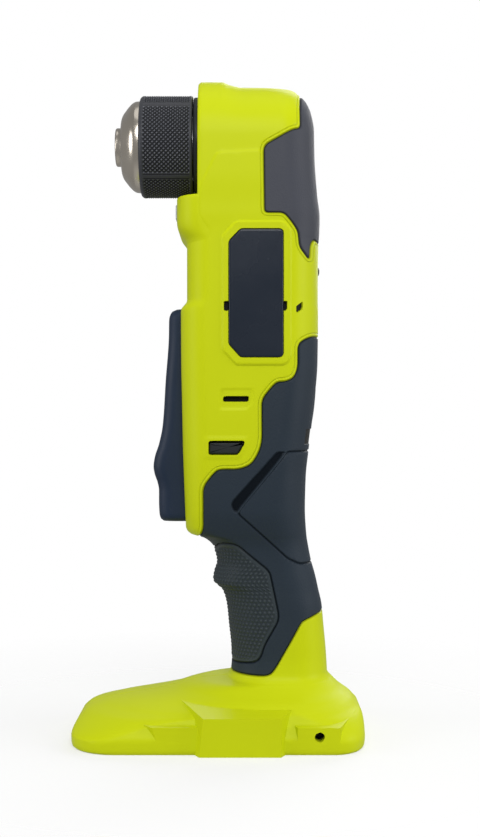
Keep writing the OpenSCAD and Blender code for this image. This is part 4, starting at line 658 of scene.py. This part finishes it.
# Cuts along both edges of every line, slope and wall, and along the middle of the lines
def cutHalf(sheet, side):
    across = gripLine["half"] * np.linspace(-1, 1, 5)
    beside = fineLine["away"] + fineLine["half"] * np.linspace(-1, 1, 3)
    both, wide = (*across, *beside), (-wideRun, 0)
    levels = {key: (-run, 0) for key, (run, high) in faces.items()}
    levels.update(head=both, handle=both, finger=across, palm=across, slot=wide, socket=wide, plate=wide)
    levels.update(nose=(0,), pan=(-pan["run"], 0), seam=(seamLine["half"],))
    order = [
        *grips, "palmBand", "selectorPad", "selector", "ventSink", "vent", "rearVent", "flank", "slot", "nose", "pan",
        "socket", "tether", "seam", "rearSlot", *(("frame", "plate", *leftFloors) if side < 0 else ("screws",)),
    ]
    for key in order:
        for level in levels.get(key, (-holeRun, 0)):
            sheet = splitAlong(sheet, key, level)
    return withPads(sheet)


# Finished half: lines, faces and holes move points along their normals, then floors of openings are set or removed
def halfBody(side):
    sheet = cutHalf(plainHalf(side), side)
    p, f = sheet.p.copy(), sheet.f
    # pads of the foot: a side point goes out to the pads' planes, and the underside is stretched with it
    p[:, 1] += np.maximum(f["over"], 0) * softStep(p[:, 1] / f["half"], *padFollow)
    n = pointNormals(p, sheet.t)
    n = np.where(f["crown"][:, None] > 0.5, np.array([0, 0, 1.0]), n)
    inGrip = f["handle"] < 0
    edge = {key: dip(f[key], gripLine["half"]) for key in grips}
    lines = np.maximum.reduce([edge["head"], edge["handle"], edge["finger"] * inGrip])
    palmEdge = edge["palm"] * inGrip * softStep(f["palmBand"], *gripLine["palmFade"])
    fine = np.max([dip(f[key] - fineLine["away"], fineLine["half"]) for key in grips[:2]], 0)
    fine *= softStep(p[:, 2], *fineLine["fade"])
    slope = {key: softRamp(-f[key] / run) for key, (run, high) in faces.items()}
    slope["palmBand"] *= inGrip
    slope["flank"] *= softStep(p[:, 2], *flankFade)
    slope["frame"] *= side < 0
    move = sum(faces[key][1] * share for key, share in slope.items())
    move -= gripLine["deep"] * np.maximum(lines, palmEdge) + fineLine["deep"] * fine
    move -= seamLine["deep"] * np.clip(1 - f["seam"] / seamLine["half"], 0, 1)
    if side < 0:
        move -= plateDeep * (f["plate"] < -wideFloor)
    pocket = np.zeros(len(p))
    for key, deep in {**floors, **(leftFloors if side < 0 else {})}.items():
        inside = f[key] < -holeFloor
        move -= deep * inside
        pocket = np.maximum(pocket, inside)
    p += n * move[:, None]
    inSlot, inSocket = [f[key] < -wideFloor for key in ("slot", "socket")]
    inTether, inScrews = [f[key] < -holeFloor for key in ("tether", "screws")]
    p[inSlot, 0] += slotHole["lip"]
    p[:, 2] += pan["depth"] * softRamp(-f["pan"] / pan["run"], pan["soft"])
    p[inSocket, 2] += pan["socketTop"] - pan["depth"]
    p[inTether, 1] -= tether["depth"]
    if side > 0:
        nearest = np.argmin([np.hypot(p[:, 0] - a, p[:, 2] - h) for a, h, seat in screwSeats], 0)
        p[:, 1] = np.where(inScrews, np.array(screwSeats)[nearest, 2], p[:, 1])
    # painted shade: dark in the grip lines, the fine lines and the palm band's recess
    tones = [lines, gripLine["palmShade"] * palmEdge, slope["palmBand"], fineLine["tone"] * fine]
    f["groove"] = np.clip(np.maximum.reduce(tones), 0, 1)
    # painted shadow: near black on the floors of openings, in the slot and in the tether hole
    f["pocket"] = np.maximum.reduce([pocket, 1.0 * inSlot, 1.0 * inTether])
    sheet = sheetOf(p, sheet.t, **f)
    # through openings lose their floors
    deepest = {"slot": -wideRun, "socket": -wideRun, "selector": -holeRun, "nose": 0}
    return partOf(sheet, ~np.any([middleOf(sheet, key) < level for key, level in deepest.items()], 0))


# Grip dots: domes on a staggered lattice of arc length against height, fading out near the panel's edge, with painted
# shade between them
fingerDots = {
    "pitch": 1.66, "rowShare": 0.866, "radius": 0.42, "soft": 0.2, "high": 0.26, "margin": (1.0, 1.7), "tone": 0.3,
}


def dotted(sheet):
    sheet = refine(refine(sheet))
    f, k = sheet.f, fingerDots
    pitchZ = k["pitch"] * k["rowShare"]
    z = sheet.p[:, 2] / pitchZ
    row = np.round(z)
    a = f["arc"] / k["pitch"] + 0.5 * (row % 2)
    r = np.hypot((a - np.round(a)) * k["pitch"], (z - row) * pitchZ)
    panel = softStep(-f["finger"], *k["margin"])
    dome = softStep(-r, -k["radius"] - k["soft"], -k["radius"] + k["soft"]) * panel
    # painted shade in the hollows between the domes
    f["groove"] = np.maximum(f["groove"], k["tone"] * (1 - dome) * panel)
    return sheetOf(sheet.p + pointNormals(sheet.p, sheet.t) * k["high"] * dome[:, None], sheet.t, **f)


# Chin that holds the lamp: sections like the body's, a hair inside its sides. The top rises over the lamp and stays
# clear of the sleeve. Only what lies before "inner" or outside "flank" is kept, clear of the gears.
chin = {
    "low": 178, "top": 200.6, "edge": 1.2, "rear": 5, "deep": 9, "wide": 0.44, "rearDeep": 1,
    "rearWide": 0.05, "inside": 0.08, "clear": 19.9, "count": 80, "rows": 33, "topRows": 14, "inner": -6.2,
    "flank": 22.4, "rise": 0.9, "riseHalf": (6, 16), "riseDepth": 3,
    # height, front
    "front": [
        (178, -10), (181.7, -11.2), (184.5, -12.1), (186.2, -13.4), (188, -14.6), (189.6, -15.1), (191.5, -15.3),
        (204, -15.3),
    ],
}


def chinHalf():
    k = chin
    inward, down = quarterRound(k["edge"])
    straight = np.linspace(k["low"], k["top"] - k["edge"], k["rows"] + 1)[:-1]
    z = np.concatenate([straight, k["top"] - down])
    inset = np.concatenate([0 * straight, inward])
    front = softRows(z, k["front"])[:, 0] + inset
    half = softRows(z, shell["stations"])[:, 2] - k["inside"] - inset
    x, y = ringsOf(k, front, half)
    # top: the last ring drawn to a point on the seam
    share = np.linspace(1, 0, k["topRows"] + 1)[1:, None]
    middle = x[-1:].mean()
    x, y = np.vstack([x, middle + (x[-1:] - middle) * share]), np.vstack([y, y[-1:] * share])
    z = np.repeat(np.append(z, np.full(k["topRows"], k["top"]))[:, None], k["count"], 1)
    z += k["rise"] * (1 - softStep(y, *k["riseHalf"])) * softStep(z, k["top"] - k["riseDepth"], k["top"])
    z = np.minimum(z, axisZ - np.sqrt(np.maximum(k["clear"] ** 2 - y ** 2, 0)))
    p = np.dstack([x, y, z]).reshape(-1, 3)
    t = gridTriangles(len(x), k["count"])[:, ::-1]
    middle, none = p[t].mean(1), np.zeros(len(p))
    return partOf(sheetOf(p, t, groove=none, pocket=none), (middle[:, 0] < k["inner"]) | (middle[:, 1] > k["flank"]))


for side, word in ((-1, "left"), (1, "right")):
    body = halfBody(side)
    head, handle, finger, palm = [middleOf(body, key) < 0 for key in grips]
    # node, slot, where
    parts = {
        "HeadGrip": ("head_grip", "head_rubber", head),
        "FingerGrip": ("finger_grip", "grip_rubber", handle & finger),
        "PalmPad": ("palm_pad", "grip_rubber", handle & palm),
        "HandleGrip": ("handle_grip", "grip_rubber", handle & ~finger & ~palm),
        "Housing": ("housing", "lime_shell", ~handle & ~head),
    }
    for key, (node, slotName, mask) in parts.items():
        sheet, look = partOf(body, mask), slotName
        if key == "FingerGrip":
            # painted light: the finger panel takes a lighter copy of the grip rubber
            sheet, look = dotted(sheet), "fingerDots"
        if key == "Housing":
            sheet = joined(sheet, chinHalf())
        if side < 0:
            sheet = mirrored(sheet)
        made = pieceFrom(
            word + key, sheet, "housing", slotName, [word + "_" + node], look,
            shell["wall"], shell["sharp"], ["groove", "pocket"],
        )
        print("body:", word + key, len(made.data.polygons), "triangles")


# Tube of rings of points, closed at both ends by a fan round the ring's middle, turned round if asked
def tubeOf(rings, turned=False):
    m, n = rings.shape[:2]
    j = np.arange(n)
    after, tip, last = (j + 1) % n, np.full(n, n * m), n * (m - 1)
    fans = [np.stack([tip, after, j], 1), np.stack([tip + 1, last + j, last + after], 1)]
    t = np.vstack([gridTriangles(m, n, True), *fans])
    return sheetOf(np.vstack([rings.reshape(-1, 3), rings[[0, -1]].mean(1)]), t[:, ::-1] if turned else t)


# Prism of a flat outline along y or x: rings of it, moved in by the play and by a quarter round at both end edges
def outlinePrism(outline, ends, edge, corner=1.0, play=0, axis="y", rim=0.35, steps=4):
    flat = roundOutline(outline, corner)
    u, v = flat.T
    if np.sum(u * np.roll(v, -1) - v * np.roll(u, -1)) < 0:
        flat = flat[::-1]
    along = np.roll(flat, -1, 0) - np.roll(flat, 1, 0)
    along /= np.maximum(np.linalg.norm(along, axis=1), tiny)[:, None]
    inward = np.stack([-along[:, 1], along[:, 0]], 1)
    (low, high), (up, inset) = ends, quarterRound(edge, steps)
    inset = np.append(inset[0] + rim, inset) + play  # a flat rim keeps the end faces flat
    up = np.append(0, up)
    inset, place = np.append(inset, inset[::-1]), np.append(low + up, high - up[::-1])
    uv = flat[None] + inward[None] * inset[:, None, None]
    p = np.dstack([uv, np.repeat(place[:, None], len(flat), 1)])
    return tubeOf(p[:, :, [0, 2, 1]], True) if axis == "y" else tubeOf(p[:, :, [2, 0, 1]])


# Trigger paddle: a full section at each height, flat sides and a rounded front, drawn in on an ellipse at both ends
trigger = {
    "half": 10.5, "rear": -9.6, "low": 80.65, "high": 159.85, "end": 2.6, "draw": 0.8, "pitch": 0.8, "count": 64,
    "deep": 5, "wide": 0.42, "rearDeep": 0.6, "rearWide": 0.05,
    # height, front
    "front": [
        (80.6, -20.6), (81.4, -21.6), (83.5, -22.2), (88, -22.4), (92, -22.4), (95, -22.9), (98.2, -24),
        (101, -24.45), (104.4, -24), (109.5, -22.4), (116.5, -21), (133, -19.9), (150, -18.7), (156, -18.6),
        (158.4, -17.9), (159.4, -17), (159.9, -15.8),
    ],
}


def triggerSheet():
    k = trigger
    z = np.linspace(k["low"], k["high"], int((k["high"] - k["low"]) / k["pitch"]))
    front = softRows(z, k["front"])[:, 0]
    near = np.clip(np.minimum(z - k["low"], k["high"] - z) / k["end"], 0, 1)
    half = k["half"] - k["draw"] * k["end"] * (1 - np.sqrt(1 - (1 - near) ** 2))
    x, y = ringsOf(k, front, half)
    x, y = np.hstack([x, x[:, -2:0:-1]]), np.hstack([y, -y[:, -2:0:-1]])
    return tubeOf(np.dstack([x, y, np.repeat(z[:, None], x.shape[1], 1)]), True)


pieceFrom("triggerPaddle", triggerSheet(), "trigger", "trigger_plastic", ["trigger"])

# Direction selector: one bar through the body, its end edges rounded
selector = {
    "ends": (-22.4, 22.4), "edge": 0.5, "corner": 0.7,
    "outline": [(-3.2, 106.05), (-3.2, 110.3), (9.4, 110.3), (9.4, 109.9), (7.2, 106.05)],
}
pieceFrom("directionBar", outlinePrism(**selector), "selector", "black_plastic", ["direction_selector"])

# Side plate: blank, its edge rounded, in the recess of the raised frame
plate = {"ends": (-24.5, -22.9), "edge": 0.5, "play": 0.25, "outline": outlines["plate"][1]}
pieceFrom("sidePlate", outlinePrism(**plate), "housing", "badge_gloss", ["side_badge"])

# Lamp lens: a rounded pane in the front of the chin
lens = {
    "ends": (-16.3, -13.7), "edge": 0.6, "axis": "x",
    "outline": [(-3.4, 193.9), (3.4, 193.9), (3.4, 199.7), (-3.4, 199.7)],
}
pieceFrom("lampLens", outlinePrism(**lens), "housing", "lens_clear", ["lamp_lens"])


# Pad on the rear: an oval whose points stand on the body's rear line and rise towards its middle
def rearOval(halfY, low, high, foot, rise, power, rings=9, around=48):
    a = np.append(np.tile(np.arange(around) / around * 2 * np.pi, rings - 1), 0)
    s = np.append(np.repeat(np.linspace(1, 0, rings)[:-1], around), 0)
    y, z = halfY * (s * np.cos(a)), (low + high) / 2 + (high - low) / 2 * (s * np.sin(a))
    x = softRows(z, shell["stations"])[:, 1] - foot + (foot + rise) * (1 - s ** power)
    j, top = np.arange(around), around * (rings - 2)
    fan = np.stack([top + j, top + (j + 1) % around, np.full(around, top + around)], 1)
    return sheetOf(np.stack([x, y, z], 1), np.vstack([gridTriangles(rings - 1, around, True), fan]))


# node, slot, and half width, bottom, top, sunk foot, rise and power of the oval
rearPads = {
    "rearPlate": ("rear_badge", "badge_gloss", (5, 115.9, 132.9, 0.8, 0.25, 10)),
    "rearBumper": ("rear_bumper", "black_plastic", (2.6, 172.1, 177.2, 1.2, 0.75, 3)),
}
rearWall = 0.6
for name, (node, slotName, sizes) in rearPads.items():
    pieceFrom(name, rearOval(*sizes), "housing", slotName, [node], wall=rearWall)


# Turned piece: a closed loop of (x, radius) points carried round the chuck axis
def turned(loop, around, radii=None):
    loop = np.asarray(loop, float)
    a = np.arange(around) / around * 2 * np.pi
    r = loop[:, 1:] + 0 * a if radii is None else radii
    p = np.stack([loop[:, :1] + 0 * a, r * np.sin(a), axisZ + r * np.cos(a)], 2).reshape(-1, 3)
    return sheetOf(p, gridTriangles(len(loop), around, True, True))


# Sleeve: diamond knurl is the lower of two crossed triangle waves, cut on four panels with plain lands between them
sleeve = {
    "front": -29.5, "back": -9.65, "radius": 19.1, "bore": 16.0, "mouth": 17.4, "mouthEnd": -28.0, "lip": 1.7,
    "rearEdge": 0.5, "rearMid": 0.15, "knurl": (-28.0, -10.5), "knurlSoft": 0.5, "deep": 0.5, "teeth": 72,
    "panels": 4, "panelHalf": 41.3, "panelSoft": 1.5, "landHalf": 0.9, "landDip": 0.3, "outer": 0.05,
    "around": 720, "rows": 104, "plain": 0.78, "wearAndGlint": (0.3, 0.95), "landShade": 0.3,
}


def sleeveSheet():
    k = sleeve
    back, inset = quarterRound(k["lip"])
    front = np.stack([k["front"] + back, k["radius"] - inset], 1)[:-1]
    x, r = k["back"], k["radius"]
    rear = [(x - k["rearMid"], r - k["rearMid"]), (x, r - k["rearEdge"]), (x, k["bore"])]
    x = np.linspace(k["front"] + k["lip"], k["back"] - k["rearEdge"], k["rows"])
    outer = np.stack([x, np.full_like(x, r)], 1)
    inner = [(k["mouthEnd"], k["bore"]), (k["mouthEnd"], k["mouth"]), (k["front"], k["mouth"])]
    loop = np.vstack([front, outer, rear, inner])
    a = np.arange(k["around"]) / k["around"] * 2 * np.pi
    arc, gx = a[None] * k["radius"], loop[:, :1]
    pitch = 2 * np.pi * k["radius"] / k["teeth"]
    cut = np.min([1 - np.abs(v / pitch % 1 * 2 - 1) for v in (arc + gx, arc - gx)], 0)
    step = 360 / k["panels"]
    off = np.abs((np.degrees(a) + step / 2) % step - step / 2)[None]
    onPanel = softStep(-off, -k["panelHalf"], -k["panelHalf"] + k["panelSoft"])
    start, end = k["knurl"]
    inBand = softStep(gx, start, start + k["knurlSoft"]) * softStep(-gx, -end, -end + k["knurlSoft"])
    land = dip(off - k["panelHalf"] - k["landHalf"], k["landHalf"]) * inBand
    facing = np.arange(len(loop))[:, None] < len(front) + len(outer)
    outside = facing & (loop[:, 1:] > k["radius"] - k["outer"])
    panel = onPanel * inBand * outside
    drop = k["deep"] * (1 - cut) * panel + k["landDip"] * land * outside
    sheet = turned(loop, k["around"], loop[:, 1:] - drop)
    # painted shade where the cut is deep and in the dips of the lands, mid tone on plain bands, painted highlight on
    # the knurl's points
    tone = panel * (1 - softStep(cut, *k["wearAndGlint"])) + (1 - panel) * k["plain"] + k["landShade"] * land
    sheet.f["groove"] = np.clip(tone, 0, 1).ravel()
    return sheet


pieceFrom(
    "chuckSleeve", sleeveSheet(), "sleeve", "sleeve_black", ["chuck_sleeve"],
    sharp=60, keepFields=["groove"],
)

# Nose: a smooth turned flank with a short tip ring, hollow in a cone so that the jaws can run
nose = {
    "tip": -39, "tipRadius": 7.2, "mouth": 6.15, "edge": 0.7, "front": -36.6, "back": -28.2,
    "fillet": 0.25, "ledge": 10.3, "seat": (-31, 12.55), "throat": 9.3, "around": 160, "rows": 48,
    # x, radius
    "flank": [
        (-36.6, 10.6), (-36.3, 11.5), (-35.8, 12.4), (-34.9, 13.6), (-33.6, 15.2), (-32.3, 16.4), (-31, 17),
        (-29.6, 17.1), (-28.2, 17.1),
    ],
}


def noseSheet():
    k = nose
    inset, back = quarterRound(k["edge"])
    ring = np.stack([k["tip"] + back, k["tipRadius"] - inset], 1)[::-1]
    x = np.linspace(k["front"], k["back"], k["rows"])
    flank = np.stack([x, softRows(x, k["flank"])[:, 0]], 1)
    x0, r = k["front"], k["tipRadius"]
    foot = [(x0 - k["fillet"], r), (x0, r + k["fillet"]), (x0, k["ledge"])]
    inner = [(k["back"], k["seat"][1]), k["seat"], (k["seat"][0], k["throat"]), (k["tip"], k["mouth"])]
    return turned(np.vstack([ring, foot, flank, inner]), k["around"])


pieceFrom("chuckNose", noseSheet(), "chuck", "nose_chrome", ["chuck_nose"], sharp=45)

# Back ring of the chuck: a plain collar between the sleeve and the head
ring = {"front": -9.3, "back": -7.85, "radius": 18.5, "bore": 12.4, "edge": 0.35, "around": 160}
loop = [
    (ring["front"], ring["radius"] - ring["edge"]), (ring["front"] + ring["edge"], ring["radius"]),
    (ring["back"], ring["radius"]), (ring["back"], ring["bore"]), (ring["front"], ring["bore"]),
]
sheet = turned(loop, ring["around"])
pieceFrom("chuckRing", sheet, "chuck", "sleeve_black", ["chuck_back_ring"], "black_plastic")
print("moving pieces: trigger, selector, sleeve, nose, ring")

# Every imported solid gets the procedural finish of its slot
slotOfNode = {row["node"]: row["material_slot"] for row in frame["record"]["subparts"]}
for name, obj in frame["nodes"].items():
    obj.data.materials.clear()
    obj.data.materials.append(finish[slotOfNode[name]])
print("solids dressed:", len(frame["nodes"]))

# Studio: a pale floor that fades into a white surround, one large soft light in front and above, weak fills
studio = {
    "floor": 0.8, "paper": (0.93, 0.93, 0.93), "paperShine": 0.1, "paperRough": (0.75, 0.9), "paperGrain": 6,
    "fade": (0.05, 0.24), "floorShare": 0.45, "ambient": 0.33, "camera": (8, -500, 119), "lens": 56.6, "sensor": 36,
}
lights = {
    # place, aim, size, power
    "frontAbove": ((0.05, -0.6, 0.54), (0, 0, 0.16), 0.45, 2.9),
    "left": ((-0.9, -0.3, 0.3), (0, 0, 0.14), 0.6, 2.6),
    "right": ((0.9, -0.15, 0.35), (0, 0, 0.14), 0.6, 3.2),
    "above": ((0.05, -0.1, 1.1), (0, 0, 0.1), 0.8, 1.2),
    "behind": ((0.3, 0.95, 0.6), (0, 0, 0.12), 0.8, 4.5),
}
for name, (place, aim, size, power) in lights.items():
    data = bpy.data.lights.new(name, "AREA")
    data.shape, data.size, data.energy = "DISK", size, power
    lamp = placed(name, data)
    lamp.location = place
    lamp.rotation_euler = (Vector(aim) - Vector(place)).to_track_quat("-Z", "Y").to_euler()

floorMesh = bpy.data.meshes.new("floor")
e = studio["floor"]
floorMesh.from_pydata([(-e, -e, 0), (e, -e, 0), (e, e, 0), (-e, e, 0)], [], [(0, 1, 2, 3)])
floor = placed("floor", floorMesh)
floorMat, tree, shader, coords = newMaterial("floorPaper", studio["paper"], specular=studio["paperShine"])
away = nodeOf(tree, "VectorMath", {0: coords}, operation="LENGTH").outputs["Value"]
feed(tree, shader, {
    "Roughness": rangeOf(tree, noiseOf(tree, coords, studio["paperGrain"]), *studio["paperRough"]),
    "Alpha": rangeOf(tree, away, studio["floorShare"], 0, *studio["fade"]),
})
floorMesh.materials.append(floorMat)
world = bpy.data.worlds.new("surround")
bpy.context.scene.world = world
world.use_nodes = True
surround = world.node_tree
# a white backdrop behind a softer light tent
seen = nodeOf(surround, "LightPath", {}).outputs["Is Camera Ray"]
feed(surround, surround.nodes["Background"], {
    "Color": (1, 1, 1, 1), "Strength": rangeOf(surround, seen, studio["ambient"], 1.0),
})
bpy.context.scene.view_settings.view_transform = "Standard"

cameraData = bpy.data.cameras.new("photo")
cameraData.lens, cameraData.sensor_width = studio["lens"], studio["sensor"]
camera = placed("photo", cameraData)
camera.location = [v * mm for v in studio["camera"]]
camera.rotation_euler = (math.pi / 2, 0, 0)
bpy.context.scene.camera = camera
